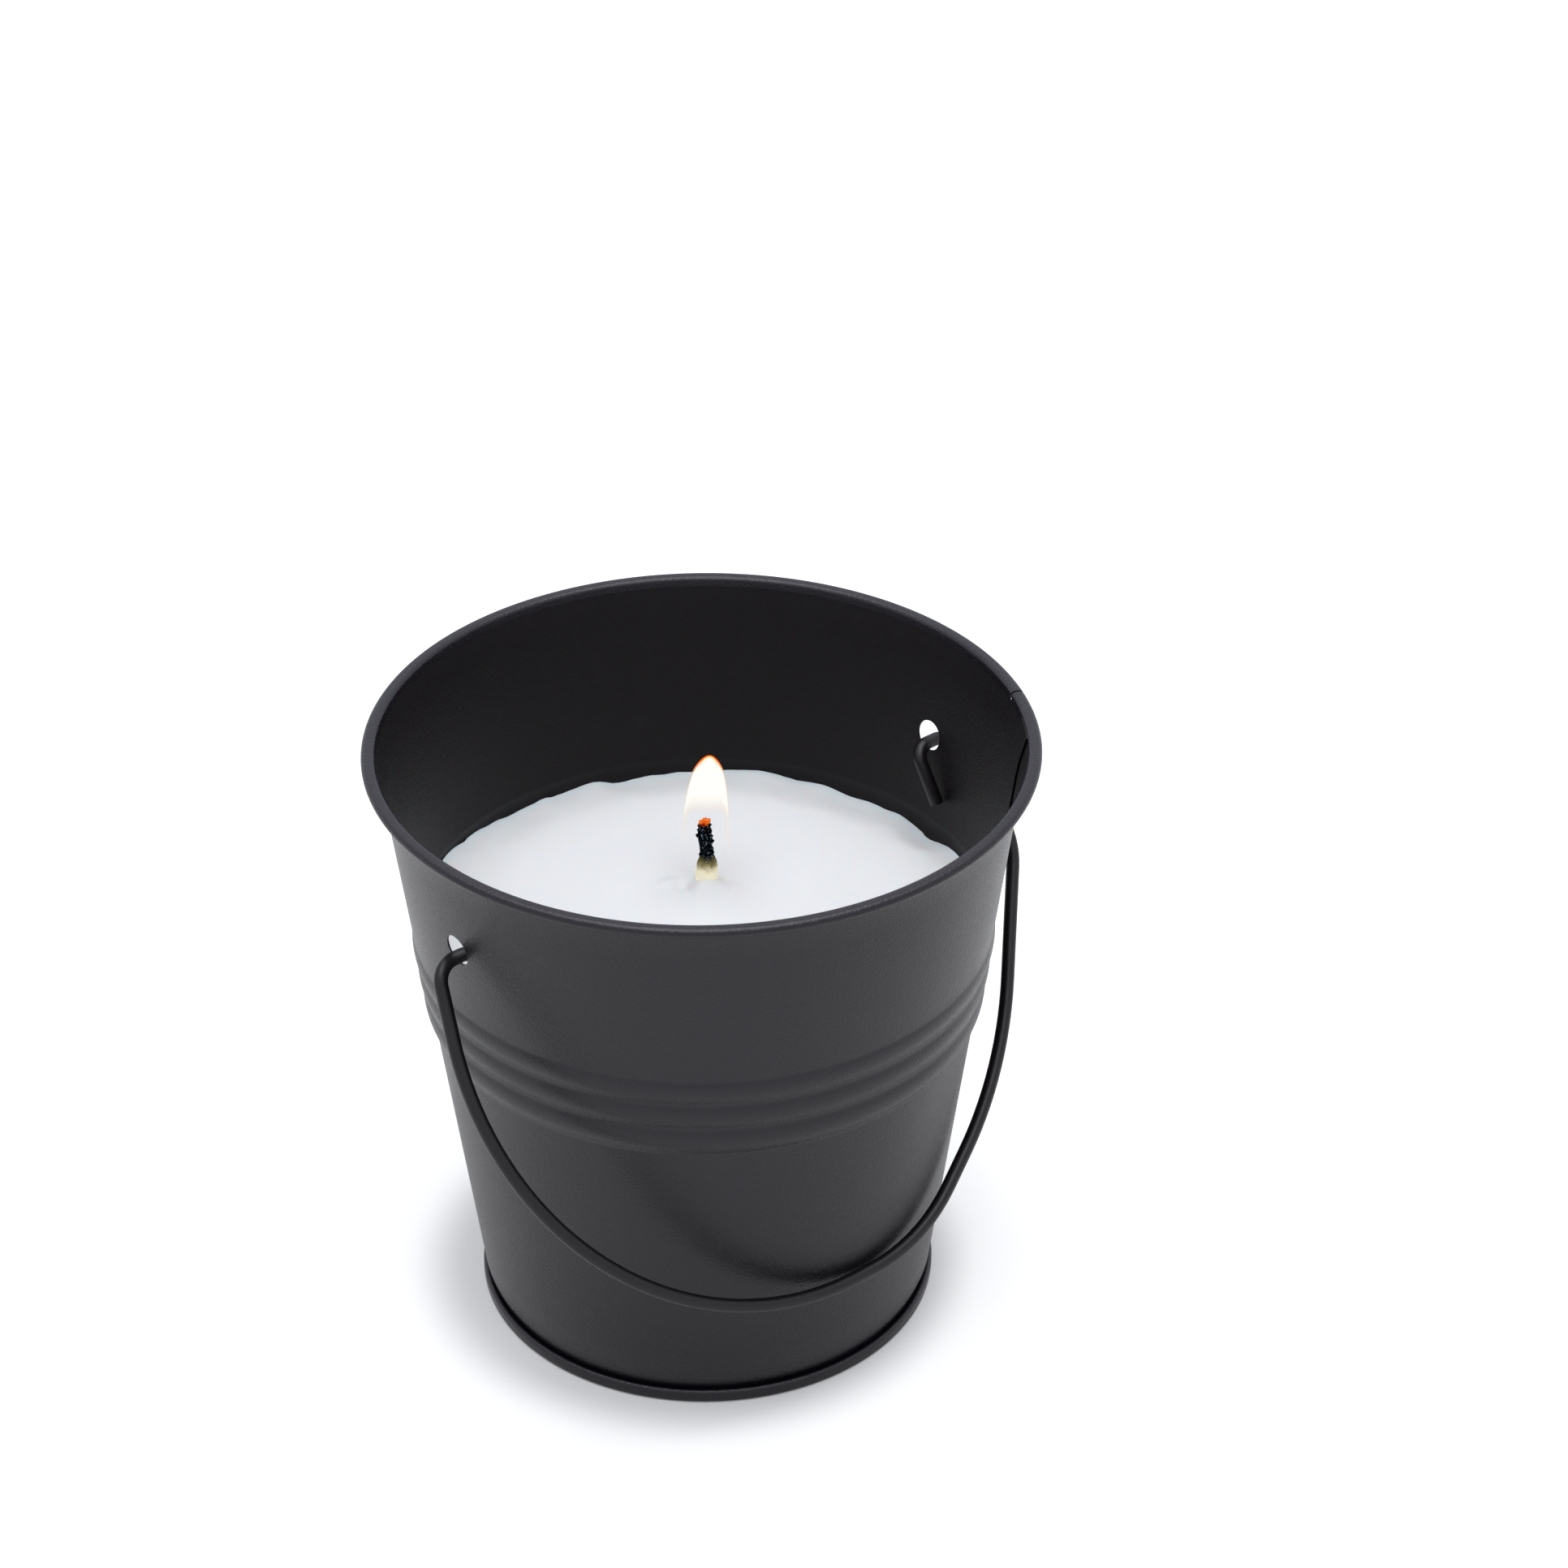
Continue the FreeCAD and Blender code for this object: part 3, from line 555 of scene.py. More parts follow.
@dataclass(frozen=True)
class FlameFinish(Finish):
    """One glowing sheet of the flame: dense high up, and lower down only where it is seen edge-on.

    Attributes:
        middle_colour: Colour half way up.
        tip_colour: Colour at the tip.
        heights: Heights where the low, middle and tip colours stand, in metres.
        dense_from: Height under which the sheet is not dense, in metres.
        dense_to: Height over which the sheet is dense, in metres.
        arch: How much lower the dense part reaches at the sheet's edges, in metres.
        foot: Height where the thin part of the sheet begins, in metres.
        full: Height where the thin part is strongest, in metres.
        hollow: How far the sheet must be seen edge-on for its dense part to begin and to be full.
        inner_colour: Colour of the inner side of the dense part.
        inner_reach: How far edge-on the inner colour ends and the heights' colours are full.
        thin: Opacity of the thin part, seen edge-on.
        sharpness: How closely the thin part keeps to the sheet's edges.
        arch_sharpness: How closely the arch keeps to the sheet's edges.
        life: How far mottling moves the heights, in metres.
        life_size: Size of that mottling in metres.
    """

    middle_colour: Triple = (1.0, 0.9, 0.7)
    tip_colour: Triple = (1.0, 0.4, 0.1)
    heights: Triple = (0.0770, 0.0815, 0.0850)
    dense_from: float = 0.0793
    dense_to: float = 0.0823
    arch: float = 0.0045
    foot: float = 0.0680
    full: float = 0.0800
    hollow: Point = (-2.0, -1.0)
    inner_colour: Triple = (1.0, 0.80, 0.25)
    inner_reach: Point = (-2.0, -1.0)
    thin: float = 0.5
    sharpness: float = 2.0
    arch_sharpness: float = 2.0
    life: float = 0.0004
    life_size: float = 0.006

    def make(self, grain: bpy.types.NodeTree) -> bpy.types.Material:
        """Builds the material.

        Args:
            grain: The shared grain effect, which lends the heights some life.

        Returns:
            The material.
        """
        material, nodes, shader = self.start()
        shader.inputs["Base Color"].default_value = (0.0, 0.0, 0.0, 1.0)
        shader.inputs["Specular IOR Level"].default_value = 0.0
        effect = nodes.add("ShaderNodeGroup", node_tree=grain, mottle_size=self.life_size)
        split = nodes.add("ShaderNodeSeparateXYZ")
        nodes.join(nodes.add("ShaderNodeTexCoord").outputs["Object"], split.inputs["Vector"])
        height = nodes.sum("MULTIPLY_ADD", effect.outputs["Mottle"], self.life, split.outputs["Z"])
        edge = nodes.add("ShaderNodeLayerWeight", blend=0.5).outputs["Facing"]
        arch = nodes.sum("POWER", edge, self.arch_sharpness)
        arched = nodes.sum("MULTIPLY_ADD", arch, self.arch, height)
        low, middle, tip = self.heights
        colour = nodes.blend(nodes.slope(arched, low, middle), self.colour, self.middle_colour)
        colour = nodes.blend(nodes.slope(arched, middle, tip), colour, self.tip_colour)
        colour = nodes.blend(nodes.slope(edge, *self.inner_reach), self.inner_colour, colour)
        nodes.join(colour, shader.inputs["Emission Color"])
        shader.inputs["Emission Strength"].default_value = 1.0
        high = nodes.slope(arched, self.dense_from, self.dense_to)
        dense = nodes.sum("MULTIPLY", high, nodes.slope(edge, *self.hollow))
        thin = nodes.sum("MULTIPLY", nodes.slope(height, self.foot, self.full), self.thin)
        rim = nodes.sum("POWER", edge, self.sharpness)
        nodes.join(nodes.sum("MULTIPLY_ADD", rim, thin, dense, clamp=True), shader.inputs["Alpha"])
        return material


class Finishes:
    """All finishes of the candle bucket, each built once."""

    def __init__(self) -> None:
        """Builds the shared effect and the materials."""
        grain = make_grain_group()
        self.paint = GrainyFinish(
            "satin_black_paint", (0.0052, 0.0042, 0.0068), 0.31, grain_size=0.00034, bump=0.00008,
            roughness_swing=0.05, roughness_speckle=0.25, colour_swing=0.2, specular=0.45,
            sheen_tint=(0.98, 0.96, 1.0),
        ).make(grain)
        self.inner_paint = GrainyFinish(
            "dull_black_paint", (0.0046, 0.0030, 0.0040), 0.48, grain_size=0.00034, bump=0.00008,
            roughness_swing=0.05, roughness_speckle=0.25, colour_swing=0.2, specular=0.22,
        ).make(grain)
        self.wire = GrainyFinish(
            "black_wire_paint", (0.0042, 0.0028, 0.0036), 0.36, grain_size=0.0003, bump=0.00002,
            roughness_swing=0.06, colour_swing=0.2, specular=0.38,
        ).make(grain)
        self.wax = GrainyFinish(
            "poured_wax", (0.81, 0.82, 0.84), 0.5, grain_size=0.0011, mottle_size=0.03, bump=0.00003,
            roughness_swing=0.08, colour_swing=0.02, specular=0.3, scatter=0.25, scatter_reach=0.004,
        ).make(grain)
        self.tin = GrainyFinish(
            "bare_tin", (0.55, 0.55, 0.53), 0.35, grain_size=0.0006, bump=0.00001, metallic=1.0,
        ).make(grain)
        self.cotton = WickFinish("burnt_cotton", (0.86, 0.78, 0.55), 0.85).make(grain)
        self.flame = [
            FlameFinish(
                "flame_edge", (1.0, 0.84, 0.60), 1.0, middle_colour=(1.0, 0.66, 0.22),
                tip_colour=(1.0, 0.10, 0.0), heights=(0.0800, 0.0856, 0.0882), arch=0.003,
                dense_from=0.0856, dense_to=0.0878, hollow=(0.1, 0.35), inner_reach=(0.34, 0.58),
                foot=0.0690, full=0.0830, thin=0.45, sharpness=5.0,
            ).make(grain),
            FlameFinish(
                "flame_light", (1.0, 0.84, 0.66), 1.0, middle_colour=(1.0, 0.97, 0.90),
                tip_colour=(1.0, 1.0, 0.97), heights=(0.0790, 0.0812, 0.0825), dense_from=0.0786,
                dense_to=0.0820, thin=0.4, sharpness=3.0,
            ).make(grain),
        ]


# Pieces


@dataclass
class BucketWall:
    """The rolled sheet-metal wall, sizes in millimetres and degrees.

    Attributes:
        slope: How far the wall leans out from upright.
        curl_width: Width of the rolled rim; the gap is what stays open under its inner edge.
        flare_rise: How far the wall bends out of its slope under the rim.
        top_rib: Height of the top rib's crest; the others follow a pitch apart.
        rib_depth: Depth of a valley under the crests.
        rib_step: How far the wall over the ribs stands out from the wall under them.
        valley_share: Share of a bend's radius that goes to the valley.
        rib_zone: How far under the top rib the plain lower wall ends.
        neck_inset: How far the neck over the foot is drawn in, between its two heights.
        hole_span: Length of the punch that makes both bail holes.
        slit_drop: How far under the rim's top the slit is centred; the nick lies deeper.
        nick_stretch: How much taller than wide the nick is.
        lap_gap: How far proud of the wall the outer lap begins.
        lining_reach: How far the inner lap reaches in, in thicknesses of the sheet.
        lining_turn: How far clockwise of the seam the inner lap ends.
        bend_flats: Flats of each valley, of the flare and of the plain lower wall.
        run_flats: Flats of the lowest step and of the wall over the ribs.
    """

    height: float = 96.5
    rim_radius: float = 49.89
    base_radius: float = 34.48
    sheet: float = SHEET
    slope: float = 7.513
    curl_width: float = 2.1
    curl_height: float = 1.5
    curl_gap: float = 0.12
    flare_rise: float = 0.62
    flare_angle: float = 17.0
    top_rib: float = 64.1
    rib_pitch: float = 4.7
    rib_count: int = 3
    rib_depth: float = 0.4
    rib_step: float = 0.45
    valley_share: float = 0.26
    rib_zone: float = 14.0
    neck_inset: float = 0.14
    neck_low: float = 2.45
    neck_top: float = 4.4
    foot_top: float = 1.75
    hole_height: float = 79.2
    hole_width: float = 4.8
    hole_span: float = 130.0
    hole_sides: int = 48
    lap_azimuth: float = -23.9
    lap_width: float = 4.6
    lap_gap: float = 0.02
    inner_lap_width: float = 6.2
    lining_reach: float = 2.1
    lining_turn: float = 1.0
    lap_steps: int = 8
    slit_width: float = 0.35
    slit_length: float = 5.0
    slit_drop: float = 0.2
    nick_size: float = 0.7
    nick_drop: float = 1.0
    nick_stretch: float = 1.2
    bend_flats: int = 8
    crest_flats: int = 12
    run_flats: int = 6
    steps: int = 288

    @property
    def curl(self) -> float:
        """Outer radius of the rolled rim's bends."""
        return self.curl_height / 2.0

    @property
    def curl_in(self) -> float:
        """Radius on which the rolled rim's inner bend is centred."""
        return self.rim_radius - self.curl_width + self.curl

    def on_slope(self, way: float, off: float) -> Point:
        """Place `way` up the wall's slope and `off` out from the lower wall's outer face."""
        turn = math.radians(self.slope)
        return (
            self.base_radius + way * math.sin(turn) + off * math.cos(turn),
            way * math.cos(turn) - off * math.sin(turn),
        )

    def ribs(self, off: float) -> list[Point]:
        """The ribs from the lowest step to the top valley, as (way, off) pairs.

        Args:
            off: How far out from the wall's outer face the line runs.

        Returns:
            Pairs of way up the slope and distance out.
        """
        pitch = self.rib_pitch / math.cos(math.radians(self.slope))
        turn = 2.0 * math.atan(2.0 * self.rib_depth / pitch)
        bends = pitch / (2.0 * math.sin(turn))
        valley = self.valley_share * bends
        crest = bends - valley
        crest_off = self.rib_step + self.rib_depth - crest
        top = self.top_rib / math.cos(math.radians(self.slope))
        step = math.acos(1.0 - (self.rib_depth + self.rib_step) / bends)
        line: list[Point] = []
        lowest = top - (self.rib_count - 1) * pitch
        middle = lowest - bends * math.sin(step)
        for flat in range(self.run_flats + 1):
            angle = step * flat / self.run_flats
            line.append((
                middle + (valley - off) * math.sin(angle), valley - (valley - off) * math.cos(angle)
            ))
        for index in range(self.rib_count - 1, -1, -1):
            middle = top - index * pitch
            first = step if index == self.rib_count - 1 else turn
            for flat in range(1, self.crest_flats + 1):
                angle = first + (-turn - first) * flat / self.crest_flats
                line.append((
                    middle - (crest + off) * math.sin(angle), crest_off + (crest + off) * math.cos(angle)
                ))
            middle += pitch / 2.0
            last = 0.0 if index == 0 else turn
            for flat in range(1, self.bend_flats + 1):
                angle = -turn + (last + turn) * flat / self.bend_flats
                line.append((
                    middle + (valley - off) * math.sin(angle),
                    self.rib_step + valley - (valley - off) * math.cos(angle),
                ))
        return line

    def face(self, off: float) -> list[Point]:
        """One face of the wall from the foot's neck to the start of the rolled rim.

        Args:
            off: How far out from the wall's outer face it lies.

        Returns:
            Points of (radius, height).
        """
        flare = math.radians(self.flare_angle)
        slope = math.radians(self.slope)
        top = self.height - self.curl + self.curl * math.sin(flare)
        out = self.curl_in - self.curl * math.cos(flare) - self.base_radius
        turn = flare - slope
        bend = self.flare_rise / (1.0 - math.cos(turn))
        start = out * math.sin(slope) + top * math.cos(slope) - bend * math.sin(turn)
        foot = self.neck_top / math.cos(slope)
        plain = (self.top_rib - self.rib_zone - foot) / self.bend_flats
        line = [self.on_slope(foot + plain * flat, off) for flat in range(self.bend_flats)]
        line += [self.on_slope(way, away) for way, away in self.ribs(off)]
        way = (self.top_rib + self.rib_pitch / 2.0) / math.cos(slope)
        run = (start - way) / self.run_flats
        upper = self.rib_step + off
        line += [self.on_slope(way + run * flat, upper) for flat in range(1, self.run_flats + 1)]
        for flat in range(1, self.bend_flats + 1):
            angle = turn * flat / self.bend_flats
            away = self.rib_step + bend - (bend - off) * math.cos(angle)
            line.append(self.on_slope(start + (bend - off) * math.sin(angle), away))
        return line

    def outline(self) -> list[Point]:
        """The whole section: foot hook, outer face, rolled rim, inner face.

        Returns:
            Points of (radius, height), closed.
        """
        hollow = self.curl - self.sheet
        inner = (self.curl_in, self.height - self.curl)
        outer = (self.rim_radius - self.curl, self.height - self.curl)
        flare_end = 180.0 - self.flare_angle
        end = self.curl_in - hollow * math.cos(math.radians(self.flare_angle)) + self.curl_gap
        neck = self.base_radius - self.neck_inset
        bottom = self.height - self.curl_height
        return [
            (neck, self.foot_top),
            (neck, self.neck_low),
            *self.face(0.0),
            *arc(inner, hollow, flare_end, 90.0, 6),
            *arc(outer, hollow, 90.0, -90.0, 14),
            (end, bottom + self.sheet),
            (end, bottom),
            *arc(outer, self.curl, -90.0, 90.0, 18),
            *arc(inner, self.curl, 90.0, flare_end, 8),
            *reversed(self.face(-self.sheet)[:-1]),
            (neck - self.sheet, self.neck_low),
            (neck - self.sheet, self.foot_top),
            (neck, self.foot_top),
        ]

    def build(self) -> bpy.types.Object:
        """Turns the wall, punches its holes and slits its rim.

        Returns:
            The wall.
        """
        wall = Bench.turned("bucket_shell", self.outline(), self.steps)
        Bench.clear()
        bpy.ops.mesh.primitive_cylinder_add(
            vertices=self.hole_sides, radius=self.hole_width / 2.0 * MM, depth=self.hole_span * MM,
            location=(0.0, 0.0, self.hole_height * MM), rotation=(0.0, math.pi / 2.0, 0.0),
        )
        Bench.cut(wall, bpy.context.object)
        slit = Vector((self.slit_length, self.slit_width, self.curl_height))
        nick = Vector((1.0, 1.0, self.nick_stretch)) * self.nick_size
        self.notch(wall, self.rim_radius, self.slit_drop, 0.0, slit)
        self.notch(wall, self.rim_radius - self.curl_width, self.nick_drop, math.pi / 4.0, nick)
        Bench.smooth(wall)
        return wall

    def notch(self, wall: bpy.types.Object, reach: float, drop: float, twist: float, size: Vector) -> None:
        """Cuts a block out of the rim at the side seam.

        Args:
            wall: The wall.
            reach: How far from the axis the block stands.
            drop: How far under the rim's top it is centred.
            twist: Its turn away from the seam's direction, in radians.
            size: Its size along the seam's direction, across it and upwards.
        """
        turn = math.radians(self.lap_azimuth)
        place = Vector((reach * math.cos(turn), reach * math.sin(turn), self.height - drop))
        Bench.clear()
        bpy.ops.mesh.primitive_cube_add(
            size=1.0, location=place * MM, rotation=(0.0, 0.0, turn + twist), scale=size * MM
        )
        Bench.cut(wall, bpy.context.object)

    def line(self, wall: bpy.types.Object, material: bpy.types.Material) -> None:
        """Gives the wall's inner face, up to the rolled rim, a finish of its own.

        Args:
            wall: The dressed wall.
            material: The inner face's finish.
        """
        wall.data.materials.append(material)
        wall.active_material_index = len(wall.data.materials) - 1
        line = self.lining(-self.sheet)

        def inside(place: Vector) -> bool:
            """Whether a point lies on the upper stretch of the inner face."""
            radius = self.radius_at(line, place.z / MM)
            return radius is not None and abs(place.xy.length / MM - radius) < self.sheet / 4.0

        Bench.pick(wall, inside)
        bpy.ops.object.material_slot_assign()
        bpy.ops.object.mode_set(mode="OBJECT")

    @staticmethod
    def radius_at(line: list[Point], height: float) -> float | None:
        """Reads a face's radius at a height.

        Args:
            line: The face, points of (radius, height) from the lowest up.
            height: The height in millimetres.

        Returns:
            The radius in millimetres, or None above and below the face.
        """
        for (low_radius, low), (high_radius, high) in pairwise(line):
            if low <= height <= high:
                return low_radius + (high_radius - low_radius) * (height - low) / (high - low)
        return None

    def lining(self, off: float) -> list[Point]:
        """The part of a face that stands free above the wax, as points of (radius, height)."""
        return [place for place in self.face(off) if place[1] > self.top_rib - self.rib_pitch]

    def build_laps(self) -> list[bpy.types.Object]:
        """The layers of the lapped side seam, outside along the ribs and inside above the wax.

        Returns:
            The outer and the inner strip, lying on the wall.
        """
        outer = self.face(self.sheet) + self.face(self.lap_gap)[::-1]
        inner = self.lining(-self.sheet / 2.0) + self.lining(-self.sheet * self.lining_reach)[::-1]
        outer_turn = math.degrees(self.lap_width / self.base_radius)
        inner_turn = math.degrees(self.inner_lap_width / self.rim_radius)
        inner_start = self.lap_azimuth - self.lining_turn - inner_turn
        return [
            self.build_lap("side_seam_lap", outer, self.lap_azimuth - outer_turn / 2.0, outer_turn),
            self.build_lap("side_seam_lining", inner, inner_start, inner_turn),
        ]

    def build_lap(self, name: str, outline: list[Point], first: float, angle: float) -> bpy.types.Object:
        """One strip of the side seam.

        Args:
            name: Name of the strip.
            outline: Its section, points of (radius, height).
            first: Azimuth where it begins, in degrees.
            angle: How far round it reaches, in degrees.

        Returns:
            The strip.
        """
        strip = Bench.turned(name, outline + outline[:1], self.lap_steps, angle)
        Bench.take(strip)
        strip.rotation_euler = (0.0, 0.0, math.radians(first))
        bpy.ops.object.transform_apply(location=True, rotation=True, scale=True)
        bpy.ops.object.mode_set(mode="EDIT")
        bpy.ops.mesh.select_all(action="DESELECT")
        bpy.ops.mesh.select_non_manifold()
        bpy.ops.mesh.fill()
        Bench.seal()
        Bench.smooth(strip)
        return strip


@dataclass
class FootSeam:
    """The recessed base with the double seam that joins it to the wall, sizes in millimetres."""

    seam_radius: float = 35.4
    seam_height: float = 2.2
    seam_inner: float = 34.47
    bend: float = 0.6
    lip: float = 0.35
    chuck_radius: float = 33.89
    panel_height: float = 3.0
    panel_inset: float = 2.2
    panel_bend: float = 0.5
    sheet: float = SHEET
    steps: int = 256

    def outline(self) -> list[Point]:
        """The base from its middle, down round the foot, over the seam's top and back.

        Returns:
            Points of (radius, height).
        """
        fold = (self.seam_radius - self.seam_inner) / 2.0
        top = (self.seam_inner + fold, self.seam_height - fold)
        inner = self.chuck_radius
        corner = (inner - self.panel_bend, self.panel_height - self.panel_bend)
        return [
            (0.0, self.panel_height),
            (inner - self.panel_inset, self.panel_height),
            *arc(corner, self.panel_bend, 90.0, 0.0, 5),
            *arc((inner + self.bend, self.bend), self.bend, 180.0, 270.0, 6),
            *arc((self.seam_radius - self.bend, self.bend), self.bend, -90.0, 0.0, 8),
            *arc(top, fold, 0.0, 180.0, 12),
            (self.seam_inner, self.bend + self.lip),
            (inner + self.sheet, self.bend + self.lip),
            (inner + self.sheet, self.panel_height + self.sheet),
            (0.0, self.panel_height + self.sheet),
        ]

    def build(self) -> bpy.types.Object:
        """Turns the base.

        Returns:
            The base with its seam.
        """
        base = Bench.turned("foot_and_seam", self.outline(), self.steps)
        Bench.smooth(base)
        return base


@dataclass
class WaxFill:
    """The poured wax, sizes in millimetres and degrees.

    Attributes:
        wall_gap: Room left between the wax and the wall's sheet.
        side_drop: How far under the level the wax leaves the wall for its rounded edge.
        shore: Radius of the level's edge; the steps lead down to the level as (inwards, up).
        shelf: How far inside the shore the even rings of the level begin.
        scallop_reach: How far in from the shore the wax is roughened.
        grip: How deep under the level, and how wide, a spot of the edge is taken hold of.
        lump_grip: The same for the lumps about the wick.
        edge_lifts: Spots of the edge as (azimuth, lift, fade).
        lumps: Spots about the wick as (to the right, away, lift, fade), seen from the front.
    """

    level: float = 64.5
    floor: float = 3.33
    floor_radius: float = 34.1
    wall_gap: float = 0.05
    side_drop: float = 0.7
    wick_place: Point = WICK_PLACE
    steps: int = 256
    rings: int = 84
    shore: float = 43.47
    shore_steps: tuple[Point, ...] = ((0.0, 0.1), (0.3, 0.04), (0.8, 0.0))
    shelf: float = 1.4
    scallop_reach: float = 3.0
    scallop_depth: float = 2.0
    scallop_grain: float = 4.5
    scallop_height: float = 1.1
    grip: Point = (2.6, 1.0)
    lump_grip: Point = (1.5, 0.4)
    edge_lifts: tuple[Triple, ...] = (
        (-160.0, -0.2, 7.0), (-135.0, 0.25, 7.0), (-110.0, -0.3, 7.0), (-85.0, 0.2, 7.0),
        (-60.0, -0.15, 7.0), (-38.0, 0.1, 7.0), (-14.2, -0.5, 5.0), (-5.0, -1.3, 6.0), (2.9, -0.4, 4.0),
        (11.0, 0.05, 5.0), (27.8, 0.45, 7.0), (39.9, 0.2, 5.0), (50.8, -0.3, 6.0), (69.0, -0.35, 3.5),
        (74.0, 0.2, 4.0), (101.8, 0.2, 7.0), (118.8, 0.4, 8.0), (136.0, 0.1, 7.0), (160.0, -0.2, 7.0),
        (-10.0, -0.45, 9.0), (2.0, -1.0, 9.0), (14.0, -1.5, 9.0), (26.0, -1.5, 9.0), (38.0, -0.8, 9.0),
        (50.0, -0.6, 9.0), (62.0, -1.2, 9.0), (74.0, -0.85, 9.0), (86.0, -0.65, 9.0), (98.0, -0.95, 9.0),
        (110.0, -0.15, 9.0),
    )
    lumps: tuple[tuple[float, float, float, float], ...] = (
        (0.5, -2.0, 1.35, 3.4), (-3.3, -1.6, -0.35, 1.8), (-5.4, -0.6, 0.4, 2.0), (3.6, -2.0, 0.35, 2.4),
        (0.0, 3.6, -0.3, 3.2),
    )

    def build(self, wall: BucketWall, heading: float) -> bpy.types.Object:
        """Turns the fill, makes its edge uneven and raises the wax about the wick.

        Args:
            wall: The wall whose inner face the wax fills.
            heading: Which way the lumps about the wick are laid out, in degrees.

        Returns:
            The wax.
        """
        inner_face = wall.face(-wall.sheet - self.wall_gap)
        side = [place for place in inner_face if place[1] < self.level - self.side_drop]
        top = [(self.shore - inwards, self.level + up) for inwards, up in self.shore_steps]
        reach = self.shore - self.shelf
        top += [(reach * (1.0 - ring / self.rings), self.level) for ring in range(self.rings + 1)]
        outline = [(0.0, self.floor), (self.floor_radius, self.floor), *side, *top]
        wax = Bench.turned("wax_fill", outline, self.steps)
        for azimuth, lift, fade in self.edge_lifts:
            turn = math.radians(azimuth)
            spot = Vector((math.cos(turn), math.sin(turn))) * self.shore
            self.swell(wax, spot, self.grip, lift, fade)
        turn = math.radians(heading)
        right, away = Vector((math.cos(turn), math.sin(turn))), Vector((-math.sin(turn), math.cos(turn)))
        for across, along, lift, fade in self.lumps:
            spot = Vector(self.wick_place) + right * across + away * along
            self.swell(wax, spot, self.lump_grip, lift, fade)
        bpy.ops.object.mode_set(mode="OBJECT")
        edge = wax.vertex_groups.new(name="edge")
        for vertex in wax.data.vertices:
            shelf = vertex.co.xy.length / MM - (self.shore - self.scallop_reach)
            if shelf > 0.0 and vertex.co.z > (self.level - self.scallop_depth) * MM:
                edge.add([vertex.index], min(1.0, shelf / self.scallop_reach), "REPLACE")
        Bench.roughen(wax, self.scallop_grain * MM, self.scallop_height * MM, "edge")
        for vertex in wax.data.vertices:
            room = wall.radius_at(inner_face, vertex.co.z / MM)
            spread = vertex.co.xy.length / MM
            if room and spread > room:
                vertex.co.xy *= room / spread
        Bench.smooth(wax, 60.0)
        return wax

    def swell(self, wax: bpy.types.Object, spot: Vector, grip: Point, rise: float, fade: float) -> None:
        """Raises or lowers the wax softly about one spot of its level.

        Args:
            wax: The wax.
            spot: The spot (x, y).
            grip: How deep under the level, and how wide, the wax is taken hold of.
            rise: How far it is raised.
            fade: How far round that fades out.
        """
        depth, width = grip
        floor = (self.level - depth) * MM
        Bench.pick(wax, lambda place: place.z > floor and (place.xy - spot * MM).length < width * MM)
        Bench.lift(rise * MM, fade * MM)


